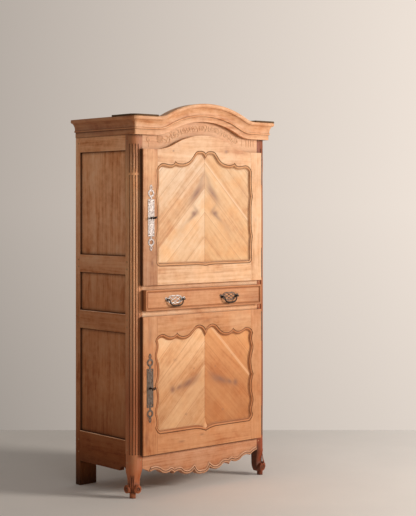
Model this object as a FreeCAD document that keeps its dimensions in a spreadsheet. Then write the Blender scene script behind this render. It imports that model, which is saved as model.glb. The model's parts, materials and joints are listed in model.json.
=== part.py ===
import FreeCAD, Part
import math
import os
import re

# Bonnetiere: a narrow linen cupboard with one arched upper door, one drawer and one lower door.
# Millimetres. X runs to the right, Y from the front to the back, Z up. Each piece is drawn with
# the front plane of the posts at y = 0, and its Placement then moves it so that the origin is
# on the floor, under the middle of the whole cupboard.

DOC = FreeCAD.newDocument("Bonnetiere")
V = FreeCAD.Vector
TURN_X = FreeCAD.Rotation(V(0, 1, 0), 90)      # stands a rod along X
TURN_Y = FreeCAD.Rotation(V(1, 0, 0), -90)     # stands a rod along Y

# ---------------------------------------------------------------- driving dimensions
SIZES = {
    # carcass
    "body_width": 942, "body_depth": 490, "carcass_top": 1940,
    "front_post_width": 68, "front_post_depth": 54, "corner_radius": 40,
    "rear_post_width": 107, "rear_post_depth": 39.5,
    "rail_thickness": 28, "front_rail_thickness": 28, "back_rail_thickness": 24,
    "tenon_thickness": 10, "tenon_length": 28, "tenon_margin": 14,
    "seat_gap": 0.3, "joint_fit": 0.2,
    "peg_radius": 4, "peg_length": 24, "peg_setback": 13,
    # heights of the side frames
    "bottom_rail_low": 132, "bottom_rail_high": 294,
    "lower_middle_low": 844, "lower_middle_high": 939,
    "upper_middle_low": 1143, "upper_middle_high": 1236, "top_rail_low": 1781,
    "side_panel_thickness": 12, "side_panel_recess": 9, "panel_tongue": 10,
    "rail_notch_radius": 27, "rail_notch_setback": 21,
    # reeded corners and feet
    "flute_radius": 3.2, "flute_low": 222, "flute_high": 1785,
    "flute_break": 1652, "flute_break_height": 14,
    "knee_height": 226, "ankle_height": 88, "ankle_inset": 11, "ankle_width": 50,
    "ankle_depth": 43, "calf_height": 148, "inner_corner": 3, "ankle_corner": 15,
    "volute_radius": 21, "volute_height": 48,
    "volute_setback": 33, "volute_stand": 10, "volute_depth": 20,
    "pad_radius": 16, "pad_height": 28, "pad_setback": 23,
    # fronts
    "door_stand": 23.7, "front_overlap": 12, "door_tongue": 12,
    "lower_door_bottom": 216, "lower_door_top": 926,
    "drawer_bottom": 956, "drawer_top": 1063, "drawer_overlap": 2, "drawer_stand": 34,
    "upper_door_bottom": 1087, "upper_door_top": 1788,
    "arch_rise": 81, "arch_half_width": 335, "crown_radius": 440,
    "tongue_clearance": 2,
    # door frames: the panel opening is scalloped
    "lock_stile_width": 93, "hinge_stile_width": 77, "door_tenon": 40,
    "door_panel_thickness": 12, "door_panel_recess": 9, "door_panel_margin": 11,
    "scallop_reach": 19, "scallop_brow": 20, "leaf_gap": 0.2,
    "upper_valley": 1717, "upper_crest": 70, "upper_sill": 1182, "upper_pendant": 5,
    "lower_valley": 815, "lower_crest": 51, "lower_sill": 316, "lower_pendant": 17,
    # frieze, apron and cornice
    "frieze_rise": 152, "apron_deep": 66, "apron_end_depth": 80,
    "cornice_bottom": 1861, "cornice_top": 1955, "cornice_side": 34, "cornice_front": 58,
    "cornice_corner": 42, "roll_height": 19, "cove_reach": 7, "bead_height": 9,
    "bead_rise": 27, "fascia_stand": 2.5, "corner_lip_height": 8, "corner_lip_side": 185, "corner_lip_front": 165,
    "corner_ledge": 20,
    # boards
    "top_board_thickness": 15, "floor_thickness": 18, "shelf_thickness": 18,
    "back_board_thickness": 12, "batten_width": 24, "batten_height": 24,
    "upper_shelf_low": 1300, "upper_shelf_high": 1540, "lower_shelf": 560,
    "back_rail_height": 70, "back_boards_low": 150, "board_gap": 0.4, "runner_clearance": 0.5,
    # drawer
    "drawer_side_thickness": 14, "drawer_length": 400, "drawer_bottom_thickness": 8,
    "drawer_bottom_lift": 8, "drawer_groove": 6, "drawer_play": 2,
    # hinges
    "barrel_radius": 5.5, "barrel_length": 75, "pin_radius": 3.5, "pin_fit": 0.06,
    "pin_rise": 50, "hinge_inset": 6.7, "hinge_side_gap": 0.5, "leaf_thickness": 2, "leaf_depth": 25,
    "leaf_near_gap": 4, "leaf_far_gap": 8, "hinge_end_distance": 20,
    # locks and keys
    "upper_keyhole": 1434, "lower_keyhole": 560,
    "upper_keyhole_setback": 50, "lower_keyhole_setback": 43,
    "case_depth": 16, "case_width": 76, "case_height": 92, "case_wall": 2, "case_setback": 3,
    "bolt_thickness": 6, "bolt_height": 12, "bolt_lift": 15, "bolt_throw": 12, "bolt_fit": 0.3,
    "key_radius": 3.2, "key_bit": 13, "bit_thickness": 3, "key_fit": 0.08, "key_reach": 34, "bow_radius": 10,
    "bow_wire": 3, "bow_tilt": 25,
    "plate_thickness": 1.6, "upper_plate_half": 170, "lower_plate_half": 177, "plate_width": 42,
    # drawer handles
    "handle_spacing": 379, "handle_offset": -20, "handle_lift": 53,
    "handle_plate_height": 24, "rosette_radius": 18, "bail_span": 102, "bail_drop": 33,
    "bail_bend": 7, "bail_corner": 16,
    "bail_radius": 2.6, "ear_stand": 11, "ear_radius": 5.5, "ear_length": 6, "bail_fit": 0.08,
}

# ---------------------------------------------------------------- places worked out from them
PLACES = {
    "half": "body_width / 2",
    "left": "-body_width / 2",
    "opening": "body_width / 2 - front_post_width",
    "rear_opening": "body_width / 2 - rear_post_width",
    "rear_face": "body_depth - rear_post_depth",
    "rail_inner": "body_width / 2 - rail_thickness",
    "panel_outer": "body_width / 2 - side_panel_recess",
    "tenon_low": "side_panel_recess",
    "door_half": "body_width / 2 - front_post_width + front_overlap",
    "door_front": "-door_stand",
    "door_back": "door_tongue",
    "panel_front": "door_panel_recess - door_stand",
    "lock_shoulder": "lock_stile_width - door_half",
    "hinge_shoulder": "door_half - hinge_stile_width",
    "panel_centre": "(hinge_shoulder + lock_shoulder) / 2",
    "panel_half": "(hinge_shoulder - lock_shoulder) / 2",
    "lower_opening_low": "lower_door_bottom + front_overlap",
    "lower_opening_high": "lower_door_top - front_overlap",
    "drawer_opening_low": "drawer_bottom + front_overlap",
    "drawer_opening_high": "drawer_top - front_overlap",
    "upper_opening_low": "upper_door_bottom + front_overlap",
    "upper_opening_high": "upper_door_top - front_overlap",
    "tongue_inset": "front_overlap + tongue_clearance",
    "hinge_x": "door_half + hinge_side_gap + barrel_radius",
    "hinge_y": "hinge_inset - door_stand",
    "upper_key_x": "upper_keyhole_setback - door_half",
    "lower_key_x": "lower_keyhole_setback - door_half",
    "case_left": "front_post_width + case_setback - body_width / 2",
    "bolt_y": "door_tongue + case_depth / 2",
    "key_tip": "-door_stand - key_reach - bow_radius - bow_wire",
    "floor_top": "lower_door_bottom + front_overlap",
    "drawer_floor_top": "drawer_bottom + front_overlap",
    "middle_floor_top": "upper_door_bottom + front_overlap",
    "back_inner": "body_depth - back_board_thickness - back_rail_thickness - 1",
    "drawer_half": "body_width / 2 - front_post_width + drawer_overlap",
    "drawer_box": "body_width / 2 - front_post_width - drawer_play",
    "handle_height": "drawer_bottom + handle_lift",
    "bail_y": "-drawer_stand - ear_stand",
    "left_handle": "handle_offset - handle_spacing / 2",
    "right_handle": "handle_offset + handle_spacing / 2",
    "frame_shift": "-(body_depth + key_tip) / 2",
}


def qualified(text):
    """Name the sheet of each size and place in an expression."""
    def full(match):
        word = match.group()
        sheet = "Sizes" if word in SIZES else "Places" if word in PLACES else ""
        return f"{sheet}.{word}" if sheet else word
    return re.sub(r"[a-z_]+", full, text)


def make_sheet(name, rows, formula):
    """One spreadsheet row for each named value."""
    sheet = DOC.addObject("Spreadsheet::Sheet", name)
    for row, (alias, value) in enumerate(rows.items(), start=1):
        sheet.set(f"A{row}", alias)
        sheet.set(f"B{row}", "=" + qualified(value) if formula else str(value))
        sheet.setAlias(f"B{row}", alias)
    return sheet


SIZE_SHEET = make_sheet("Sizes", SIZES, False)
PLACE_SHEET = make_sheet("Places", PLACES, True)
DOC.recompute()
NODES = []


def size(name):
    """The number that a size or place has on its sheet."""
    sheet = SIZE_SHEET if name in SIZES else PLACE_SHEET
    return float(sheet.get(name))


# ---------------------------------------------------------------- modelling helpers
def bind(item, prop, text):
    item.setExpression(prop, qualified(text))


def place(item, x, y, z, turn=None):
    """Bind the corner or the axis start of a primitive to three expressions."""
    if turn:
        item.Placement = FreeCAD.Placement(V(), turn)
    for axis, text in zip("xyz", (x, y, z)):
        bind(item, f"Placement.Base.{axis}", text)
    return item


def board(x, y, z):
    """A straight board between two x, two y and two z values."""
    item = DOC.addObject("Part::Box", "Board")
    for prop, (low, high) in zip(("Length", "Width", "Height"), (x, y, z)):
        bind(item, prop, f"({high}) - ({low})")
    return place(item, x[0], y[0], z[0])


def rod(radius, length, x, y, z, turn=None):
    """A round bar that starts at a point and runs along Z, or along X or Y when turned."""
    item = DOC.addObject("Part::Cylinder", "Rod")
    bind(item, "Radius", radius)
    bind(item, "Height", length)
    return place(item, x, y, z, turn)


def ball(radius, x, y, z):
    item = DOC.addObject("Part::Sphere", "Ball")
    bind(item, "Radius", radius)
    return place(item, x, y, z)


def group(*items):
    """Several separate solids in one piece list."""
    item = DOC.addObject("Part::Compound", "Group")
    item.Links = list(items)
    return item


def fuse(*items):
    item = DOC.addObject("Part::MultiFuse", "Fused")
    item.Shapes = list(items)
    item.Refine = True
    return item


def cut(base, *tools):
    item = DOC.addObject("Part::Cut", "CutPiece")
    item.Base = base
    item.Tool = tools[0] if len(tools) == 1 else fuse(*tools)
    return item


def common(base, tool):
    item = DOC.addObject("Part::Common", "Shared")
    item.Base = base
    item.Tool = tool
    return item


def mirrored(source):
    """The same piece for the other side of the cupboard."""
    item = DOC.addObject("Part::Mirroring", "Mirrored")
    item.Source = source
    item.Normal = V(1, 0, 0)
    return item


def shaped(shape):
    """A piece whose outline comes from the functions below."""
    item = DOC.addObject("Part::Feature", "Shaped")
    item.Shape = shape
    return item


def node(label, *items):
    """Finish a sub-part: its label names its file and its Placement moves it to the frame."""
    item = group(*items)
    item.Label = label
    bind(item, "Placement.Base.y", "frame_shift")
    NODES.append(item)
    return item


def both_sides(name, *items):
    """A left sub-part and its mirror image on the right."""
    node("left_" + name, *items)
    node("right_" + name, *[mirrored(item) for item in items])


# ---------------------------------------------------------------- outlines
def face_between(edges, depth_low, depth_high):
    """Extrude a closed outline drawn in the XZ plane from one depth to another."""
    wire = Part.Wire(Part.__sortEdges__(edges))
    face = Part.Face(wire)
    solid = face.extrude(V(0, depth_high - depth_low, 0))
    solid.translate(V(0, depth_low, 0))
    return solid


def chain(points):
    """Straight edges through x, z points."""
    spots = [V(x, 0, z) for x, z in points]
    return [Part.LineSegment(a, b).toShape() for a, b in zip(spots, spots[1:])]


def curve(points):
    """One smooth edge through x, z points."""
    line = Part.BSplineCurve()
    line.interpolate([V(x, 0, z) for x, z in points])
    return line.toShape()


def arc(start, middle, end):
    spots = [V(x, 0, z) for x, z in (start, middle, end)]
    return Part.Arc(*spots).toShape()


def arch_points(rise):
    """The arch that stands this far outside the door's top: ends, bends and crown."""
    half, lift, crown = size("arch_half_width"), size("arch_rise"), size("crown_radius")
    turn = 2 * math.atan(lift / half)
    flank = half / math.sin(turn) - crown
    base = size("upper_door_top")
    crown_centre = base + lift - crown
    flank_centre = base + flank

    def crown_spot(angle):
        reach = crown + rise
        return reach * math.sin(angle), crown_centre + reach * math.cos(angle)

    def flank_spot(angle):
        reach = flank - rise
        return half - reach * math.sin(angle), flank_centre - reach * math.cos(angle)

    right = [crown_spot(turn), flank_spot(turn / 2), flank_spot(0)]
    left = [(-x, z) for x, z in reversed(right)]
    return left + [crown_spot(0)] + right


def arch_edges(rise, reach):
    """The arch with its level ends carried out to plus and minus reach."""
    spots = arch_points(rise)
    level = spots[0][1]
    edges = chain([(-reach, level), spots[0]])
    edges += [arc(*spots[0:3]), arc(*spots[2:5]), arc(*spots[4:7])]
    return edges + chain([spots[6], (reach, level)])


def arched_slab(rise, reach, low, depth_low, depth_high):
    """A board with level ends and an arched top."""
    level = arch_points(rise)[0][1]
    edges = arch_edges(rise, reach)
    edges += chain([(reach, level), (reach, low), (-reach, low), (-reach, level)])
    return face_between(edges, depth_low, depth_high)


# Half outlines of the scalloped door openings. Crest and shoulder points are a share of the
# opening's half width and a height above the valley; side points are a reach beyond the half
# width and a share of the height from sill to valley. Each tuple is one smooth curve, and the
# curves meet in cusps.
SCALLOPS = {
    "upper": {
        "crest": ((0, 56), (0.036, 66), (0.115, 70), (0.188, 66), (0.258, 43), (0.339, 15),
                  (0.439, 2), (0.545, 0), (0.61, 6), (0.636, 12)),
        "shoulder": ((0.636, 12), (0.67, -2), (0.80, -4), (0.90, -1), (0.976, -14), (1.018, -37)),
        "sides": (((6, 0.931), (4, 0.80), (13, 0.679)),
                  ((13, 0.679), (4, 0.60), (3, 0.478), (4, 0.355), (13, 0.277)),
                  ((13, 0.277), (5, 0.17), (7, 0.05))),
    },
    "lower": {
        "crest": ((0, 23), (0.045, 40), (0.136, 51), (0.212, 45), (0.288, 24), (0.364, 5),
                  (0.445, -2), (0.54, 3), (0.60, 20)),
        "shoulder": ((0.60, 20), (0.66, 4), (0.773, 3), (0.879, 17), (0.976, 11), (1.045, -18)),
        "sides": (((15, 0.964), (7, 0.892), (17, 0.824), (4, 0.715), (6, 0.581), (19, 0.513)),
                  ((19, 0.513), (7, 0.449), (5, 0.339), (17, 0.226), (6, 0.118), (15, 0.074))),
    },
}


def scalloped_opening(door, low_depth, high_depth):
    """The solid that fills the scalloped opening of a door's frame."""
    centre, half = size("panel_centre"), size("panel_half")
    valley, sill, pendant = [size(f"{door}_{name}") for name in ("valley", "sill", "pendant")]
    lines = SCALLOPS[door]
    pieces = [curve([(half * x, valley + z) for x, z in lines[name]])
              for name in ("crest", "shoulder")]
    sides = [[(half + x, sill + (valley - sill) * z) for x, z in line] for line in lines["sides"]]
    sides[0][0] = (half * lines["shoulder"][-1][0], valley + lines["shoulder"][-1][1])
    pieces += [curve(side) for side in sides]
    corner, corner_end, dip = sides[-1][-1], half * 0.95, half * 0.2
    pieces.append(arc(corner, (half, sill + (corner[1] - sill) * 0.3), (corner_end, sill)))
    pieces += chain([(corner_end, sill), (dip, sill)])
    pieces.append(arc((dip, sill), (dip * 0.4, sill - pendant * 0.45), (0, sill - pendant)))
    right = Part.Wire(Part.__sortEdges__(pieces))
    left = right.mirror(V(), V(1, 0, 0))
    solid = face_between(right.Edges + left.Edges, low_depth, high_depth)
    solid.translate(V(centre, 0, 0))
    return solid


def panel_blank(door, extra, side):
    """The panel as it sits in the grooves of its frame, one leaf or both, grown by extra."""
    centre, half = size("panel_centre"), size("panel_half")
    valley, crest = size(door + "_valley"), size(door + "_crest")
    margin = size("door_panel_margin") + extra
    edge = half + size("scallop_reach") + margin
    brow = valley + size("scallop_brow") + margin
    peak = valley + crest + margin
    foot = size(door + "_sill") - size(door + "_pendant") - margin
    right = [(half * 0.27, peak), (half * 0.36, valley + crest * 0.45 + margin),
             (half * 0.46, brow), (edge, brow), (edge, foot)]
    left = [(-x, z) for x, z in reversed(right)]
    outline, shift = {
        "both": (left + right, 0),
        "left": (left + [(0, peak), (0, foot)], -size("leaf_gap") / 2),
        "right": ([(0, foot), (0, peak)] + right, size("leaf_gap") / 2),
    }[side]
    front = size("panel_front")
    solid = face_between(chain(outline + outline[:1]), front - extra,
                         front + size("door_panel_thickness") + extra)
    solid.translate(V(centre + shift, 0, 0))
    return solid


# ---------------------------------------------------------------- side frames
SIDE_RAILS = {
    "top_rail": ("top_rail_low", "carcass_top"),
    "upper_middle_rail": ("upper_middle_low", "upper_middle_high"),
    "lower_middle_rail": ("lower_middle_low", "lower_middle_high"),
    "bottom_rail": ("bottom_rail_low", "bottom_rail_high"),
}
SIDE_PANELS = {
    "upper_panel": ("upper_middle_high", "top_rail_low"),
    "middle_panel": ("lower_middle_high", "upper_middle_low"),
    "lower_panel": ("bottom_rail_high", "lower_middle_low"),
}


def side_tenons(low, high, fit):
    """The tenons at both ends of a left side rail, grown by the fit for their mortises."""
    x = (f"left + tenon_low - {fit}", f"left + tenon_low + tenon_thickness + {fit}")
    z = (f"{low} + tenon_margin - {fit}", f"{high} - tenon_margin + {fit}")
    front = board(x, (f"front_post_depth - tenon_length - {fit}", "front_post_depth + 1"), z)
    back = board(x, ("rear_face - 1", f"rear_face + tenon_length + {fit}"), z)
    return [front, back]


def side_panel(low, high, gap):
    """A left side panel with its tongues, or the room for it when it is grown by a gap."""
    x = (f"-panel_outer - {gap}", f"-panel_outer + side_panel_thickness + {gap}")
    y = (f"front_post_depth - panel_tongue - {gap}", f"rear_face + panel_tongue + {gap}")
    z = (f"{low} - panel_tongue - {gap}", f"{high} + panel_tongue + {gap}")
    return board(x, y, z)


def side_pegs(extra):
    """Two pegs through each joint of a left side frame."""
    pegs = []
    for low, high in SIDE_RAILS.values():
        for share in ("0.3", "0.7"):
            z = f"{low} + ({high} - {low}) * {share}"
            for y in ("front_post_depth - peg_setback", "rear_face + peg_setback"):
                pegs.append(rod(f"peg_radius + {extra}", "peg_length", "left", y, z, TURN_X))
    return pegs


FRONT_JOINTS = {
    "apron": ("lower_opening_low - apron_deep", "lower_opening_low"),
    "drawer_bottom_rail": ("lower_opening_high", "drawer_opening_low"),
    "drawer_top_rail": ("drawer_opening_high", "upper_opening_low"),
    "frieze": ("upper_opening_high", "carcass_top"),
}


def front_tenon(low, high, fit):
    """The left tenon of a front rail, grown by the fit for its mortise."""
    x = (f"-opening - tenon_length - {fit}", "-opening + 1")
    y = (f"tenon_low - {fit}", f"tenon_low + tenon_thickness + {fit}")
    z = (f"{low} + tenon_margin - {fit}", f"{high} - tenon_margin + {fit}")
    return board(x, y, z)


def front_pegs(extra):
    """One peg through each joint of a front rail, on the left."""
    return [rod(f"peg_radius + {extra}", "peg_length", "-opening - peg_setback", "0",
                f"({low} + {high}) / 2", TURN_Y)
            for low, high in FRONT_JOINTS.values()]


ROOMS = {name: side_panel(low, high, "seat_gap") for name, (low, high) in SIDE_PANELS.items()}
PEG_HOLES = side_pegs("joint_fit") + front_pegs("joint_fit")


def make_side_frames():
    """Rails and floating panels of both sides."""
    rails = {}
    for name, (low, high) in SIDE_RAILS.items():
        y = ("front_post_depth", "rear_face")
        x = ("left", "left + rail_thickness")
        rail = fuse(board(x, y, (low, high)), *side_tenons(low, high, "0"))
        tools = list(ROOMS.values()) + PEG_HOLES
        if name == "bottom_rail":
            tools.append(rod("rail_notch_radius", "rail_thickness + 2", "left - 1",
                             "front_post_depth + rail_notch_setback", "bottom_rail_low", TURN_X))
        rails[name] = cut(rail, *tools)
    for name in ("top_rail", "bottom_rail"):
        both_sides(name, rails[name])
    both_sides("middle_rails", rails["upper_middle_rail"], rails["lower_middle_rail"])
    for name, (low, high) in SIDE_PANELS.items():
        both_sides(name, side_panel(low, high, "0"))


# ---------------------------------------------------------------- posts
def rounded_post():
    """The front post above the foot, with its outer corner rounded."""
    body = board(("left", "-opening"), ("0", "front_post_depth"), ("knee_height", "carcass_top"))
    square = board(("left - 1", "left + corner_radius"), ("-1", "corner_radius"),
                   ("knee_height - 1", "carcass_top + 1"))
    round_off = rod("corner_radius", "carcass_top - knee_height + 2", "left + corner_radius",
                    "corner_radius", "knee_height - 1")
    return cut(body, cut(square, round_off))


def flutes():
    """Grooves that leave reeds round the corner, broken once near the top."""
    tools = []
    runs = (("flute_low", "flute_break"), ("flute_break + flute_break_height", "flute_high"))
    for step in range(1, 5):
        angle = 22.5 * step
        x = f"left + corner_radius * (1 - cos({angle} deg))"
        y = f"corner_radius * (1 - sin({angle} deg))"
        for low, high in runs:
            tools.append(rod("flute_radius", f"{high} - {low}", x, y, low))
    return tools


def rounded_outline(inset, width, depth, height, corner):
    """A level outline of the foot, set in from the post's corner, which is the round one."""
    small = size("inner_corner")
    x, y = size("left") + inset, inset
    spots = ((x + width - small, y + depth - small, small), (x + small, y + depth - small, small),
             (x + corner, y + corner, corner), (x + width - small, y + small, small))
    corners = [Part.makeCircle(radius, V(cx, cy, height), V(0, 0, 1), 90 * turn, 90 * (turn + 1))
               for turn, (cx, cy, radius) in enumerate(spots)]
    sides = [Part.makeLine(corner.lastVertex().Point, following.firstVertex().Point)
             for corner, following in zip(corners, corners[1:] + corners[:1])]
    return Part.Wire(Part.__sortEdges__(corners + sides))


def foot_shape():
    """The cabriole foot: knee, calf and ankle, then two volutes over a small round pad."""
    width, depth, knee = size("front_post_width"), size("front_post_depth"), size("knee_height")
    inset, ankle, deep = size("ankle_inset"), size("ankle_width"), size("ankle_depth")
    calf, low, round_off = size("calf_height"), size("ankle_height"), size("corner_radius")
    tight = size("ankle_corner")
    top = Part.Face(rounded_outline(0, width, depth, calf, round_off))
    block = top.extrude(V(0, 0, knee - calf))
    leg = Part.makeLoft([
        rounded_outline(0, width, depth, calf, round_off),
        rounded_outline(inset * 0.4, (width + ankle) / 2, depth - inset * 0.5, (calf + low) / 2,
                        (round_off + tight) / 2),
        rounded_outline(inset, ankle, deep, low, tight),
        rounded_outline(inset * 0.8, ankle, deep, size("volute_height"), tight),
        rounded_outline(inset, ankle * 0.8, deep * 0.8, size("pad_height") - 4, tight * 0.8)],
        True, False)
    left, stand, reach = size("left"), size("volute_stand"), size("volute_depth")
    leg = leg.common(Part.makeBox(width, depth, knee, V(left, 0, 0)))
    radius, height, back = size("volute_radius"), size("volute_height"), size("volute_setback")
    front = Part.makeCylinder(radius, stand + reach, V(left + back, -stand, height), V(0, 1, 0))
    side = Part.makeCylinder(radius, stand + reach, V(left - stand, back, height), V(1, 0, 0))
    at = size("pad_setback")
    pad = Part.makeCylinder(size("pad_radius"), size("pad_height"), V(left + at, at, 0))
    return block.fuse([leg, front, side, pad]).removeSplitter()


def make_posts():
    mortises = []
    for low, high in SIDE_RAILS.values():
        mortises += side_tenons(low, high, "joint_fit")
    front_mortises = [front_tenon(low, high, "joint_fit") for low, high in FRONT_JOINTS.values()]
    foot = shaped(foot_shape())
    blank = cut(fuse(rounded_post(), foot), *mortises, *front_mortises, *ROOMS.values(),
                *PEG_HOLES, *flutes())
    bolt_holes = [bolt_bar(door, "bolt_fit", "bolt_throw + 1") for door in DOORS]
    node("left_front_post", cut(blank, *bolt_holes))
    slots = [hinge_leaf(z, "post", "joint_fit") for z in hinge_heights()]
    node("right_front_post", cut(mirrored(blank), *slots))
    rear = board(("left", "left + rear_post_width"), ("rear_face", "body_depth"), ("0", "carcass_top"))
    back_mortises = [back_tenon(low, "joint_fit") for low in BACK_RAILS]
    both_sides("rear_post", cut(rear, *mortises, *ROOMS.values(), *PEG_HOLES, *back_mortises))


# ---------------------------------------------------------------- front rails
def front_rail(name, low, high):
    """A straight rail between the front posts, with a tenon at each end."""
    left_tenon = front_tenon(*FRONT_JOINTS[name], "0")
    body = board(("-opening", "opening"), ("0", "front_rail_thickness"), (low, high))
    return cut(fuse(body, left_tenon, mirrored(left_tenon)), *both_pegs())


def both_pegs():
    holes = front_pegs("joint_fit")
    return holes + [mirrored(hole) for hole in holes]


# The apron's lower edge from the middle to the right: end points of its scallops, each with a
# point that its arc passes through, as shares of half the opening, and depths below the floor.
APRON_ARCS = (((0, 158), (0.08, 155), (0.14, 132)), ((0.14, 132), (0.235, 148), (0.37, 126)),
              ((0.37, 126), (0.43, 124), (0.485, 134)), ((0.485, 134), (0.50, 124), (0.53, 117)),
              ((0.53, 117), (0.60, 125), (0.71, 111)), ((0.71, 111), (0.80, 98), (0.87, 104)),
              ((0.87, 104), (0.895, 98), (0.925, 91)))


def apron_shape():
    """The front apron with its scalloped lower edge."""
    opening, top = size("opening"), size("lower_opening_low")
    shoulder = top - size("apron_end_depth")
    lower = [arc(*[(opening * x, top - depth) for x, depth in spots]) for spots in APRON_ARCS]
    share, depth = APRON_ARCS[-1][-1]
    lower += chain([(opening * share, top - depth), (opening, shoulder)])
    right = Part.Wire(Part.__sortEdges__(lower))
    left = right.mirror(V(), V(1, 0, 0))
    edges = right.Edges + left.Edges
    edges += chain([(opening, shoulder), (opening, top), (-opening, top), (-opening, shoulder)])
    return face_between(edges, 0, size("front_rail_thickness"))


def make_front_rails():
    for name in ("drawer_bottom_rail", "drawer_top_rail"):
        node(name, front_rail(name, *FRONT_JOINTS[name]))
    tenon = front_tenon(*FRONT_JOINTS["apron"], "0")
    apron = fuse(shaped(apron_shape()), tenon, mirrored(tenon))
    node("front_apron", cut(apron, *both_pegs()))
    opening, overlap = size("opening"), size("front_overlap")
    thick = size("front_rail_thickness")
    whole = arched_slab(size("frieze_rise"), opening, size("upper_door_top") - overlap - 20, 0, thick)
    below = arched_slab(-overlap, opening + 5, size("upper_door_top") - overlap - 60, -5, thick + 5)
    tenon = front_tenon(*FRONT_JOINTS["frieze"], "0")
    frieze = fuse(shaped(whole.cut(below)), tenon, mirrored(tenon))
    node("frieze_rail", cut(frieze, *both_pegs()))


def make_pegs():
    pegs = side_pegs("0") + front_pegs("0")
    node("frame_pegs", *pegs, *[mirrored(peg) for peg in pegs])


# ---------------------------------------------------------------- cornice
def cornice_section(filler):
    """Cornice section with its back at y = 0: fascia, bead, cove and top roll over a filler."""
    side, low, high = size("cornice_side"), size("cornice_bottom"), size("cornice_top")
    roll, cove, fascia = size("roll_height"), size("cove_reach"), size("fascia_stand")
    bead_low = low + size("bead_rise")
    bead_high = bead_low + size("bead_height")
    roll_low = high - roll
    under = side - roll / 2

    def spot(reach, height):
        return V(0, -(reach + filler), height)

    line, bend = Part.LineSegment, Part.Arc
    edges = [
        line(V(0, 0, high), spot(side - 3, high)),
        bend(spot(side - 3, high), spot(side, high - roll / 2), spot(side - 4, roll_low)),
        line(spot(side - 4, roll_low), spot(under, roll_low)),
        bend(spot(under, roll_low), spot(cove + 5, roll_low - 14), spot(cove, bead_high)),
        bend(spot(cove, bead_high), spot(cove + 4, (bead_low + bead_high) / 2), spot(cove, bead_low)),
        line(spot(cove, bead_low), spot(fascia, bead_low)),
        line(spot(fascia, bead_low), spot(fascia, low)),
        line(spot(fascia, low), V(0, 0, low)),
        line(V(0, 0, low), V(0, 0, high)),
    ]
    return Part.Wire([edge.toShape() for edge in edges])


def swept_front():
    """The front cornice between the corners, its section carried along the arch."""
    rise = size("cornice_bottom") - size("upper_door_top")
    reach = size("half") + size("cornice_side") - size("cornice_corner")
    spine = Part.Wire(Part.__sortEdges__(arch_edges(rise, reach)))
    section = cornice_section(size("cornice_front") - size("cornice_side"))
    section.translate(V(-reach, 0, 0))
    sweep = Part.BRepOffsetAPI.MakePipeShell(spine)
    sweep.setBiNormalMode(V(0, 1, 0))
    sweep.add(section, False, False)
    sweep.build()
    sweep.makeSolid()
    return sweep.shape()


def cornice_end():
    """The left corner and side of the cornice: the section turned, then carried to the back."""
    half, side, front = size("half"), size("cornice_side"), size("cornice_front")
    corner, low, high = size("cornice_corner"), size("cornice_bottom"), size("cornice_top")
    axis = V(corner - half - side, corner - front, 0)
    section = cornice_section(corner - side)
    section.translate(axis)
    turned = Part.Face(section).revolve(axis, V(0, 0, 1), -90)
    section = cornice_section(0)
    section.rotate(V(), V(0, 0, 1), -90)
    section.translate(V(-half, axis.y, 0))
    run = Part.Face(section).extrude(V(0, size("body_depth") - axis.y, 0))
    filler = Part.makeBox(axis.x + half, -axis.y, high - low, V(-half, axis.y, low))
    return turned.fuse([run, filler]).removeSplitter()


def mitre_wedge():
    """The room of the left side cornice in front of the mitre, seen from above."""
    half, side, front = size("half"), size("cornice_side"), size("cornice_front")
    low, high = size("cornice_bottom") - 5, size("cornice_top") + 5
    back = size("body_depth") + 1
    step = side - front
    spots = [(-half - side - 1, -front - 1), (-half, step), (-half, back), (-half - side - 1, back)]
    corners = [V(x, y, low) for x, y in spots]
    face = Part.Face(Part.makePolygon(corners + corners[:1]))
    return face.extrude(V(0, 0, high - low))


def rounded_limits():
    """A block as large as the cornice in plan, with its two front corners rounded."""
    half, side, front = size("half"), size("cornice_side"), size("cornice_front")
    low = size("cornice_bottom") - 5
    high = size("cornice_top") + size("arch_rise") + 5
    block = Part.makeBox(2 * (half + side), size("body_depth") + front, high - low,
                         V(-half - side, -front, low))
    upright = [e for e in block.Edges
               if abs(e.tangentAt(e.FirstParameter).z) > 0.9 and e.CenterOfMass.y < 0]
    return block.makeFillet(size("cornice_corner"), upright)


def make_cornice():
    left, wedge = cornice_end(), mitre_wedge()
    right, other_wedge = [shape.mirror(V(), V(1, 0, 0)) for shape in (left, wedge)]
    front = swept_front().fuse([left, right]).cut(wedge.fuse(other_wedge))
    node("cornice_front", shaped(front))
    both_sides("cornice", shaped(left.common(wedge)))


def make_top():
    """Dust boards over the cupboard and the two thin corner pieces on the cornice."""
    z = ("carcass_top", "carcass_top + top_board_thickness")
    width = "(body_depth - front_rail_thickness) / 3"
    boards = [board(("left", "half"), (f"front_rail_thickness + {width} * {step} + board_gap",
                                       f"front_rail_thickness + {width} * {step + 1}"), z)
              for step in range(3)]
    lift, ledge = size("corner_lip_height"), size("corner_ledge")
    lip = Part.makeBox(size("corner_lip_front"), size("corner_lip_side"), lift,
                       V(-size("half") - size("cornice_side"), -size("cornice_front"),
                         size("cornice_top")))
    inner = Part.makeBox(size("half"), size("body_depth"), lift,
                         V(ledge - size("half"), ledge, size("cornice_top")))
    corner = shaped(lip.common(rounded_limits()).cut(inner))
    node("top_boards", *boards, corner, mirrored(corner))


# ---------------------------------------------------------------- inside and back
BACK_RAILS = ("bottom_rail_low + 20", "lower_middle_high", "carcass_top - back_rail_height")


def back_tenon(low, fit):
    """The left tenon of a back rail."""
    x = (f"-rear_opening - tenon_length - {fit}", "-rear_opening + 1")
    y = (f"back_inner + 7 - {fit}", f"back_inner + 7 + tenon_thickness + {fit}")
    z = (f"{low} + tenon_margin - {fit}", f"{low} + back_rail_height - tenon_margin + {fit}")
    return board(x, y, z)


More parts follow.
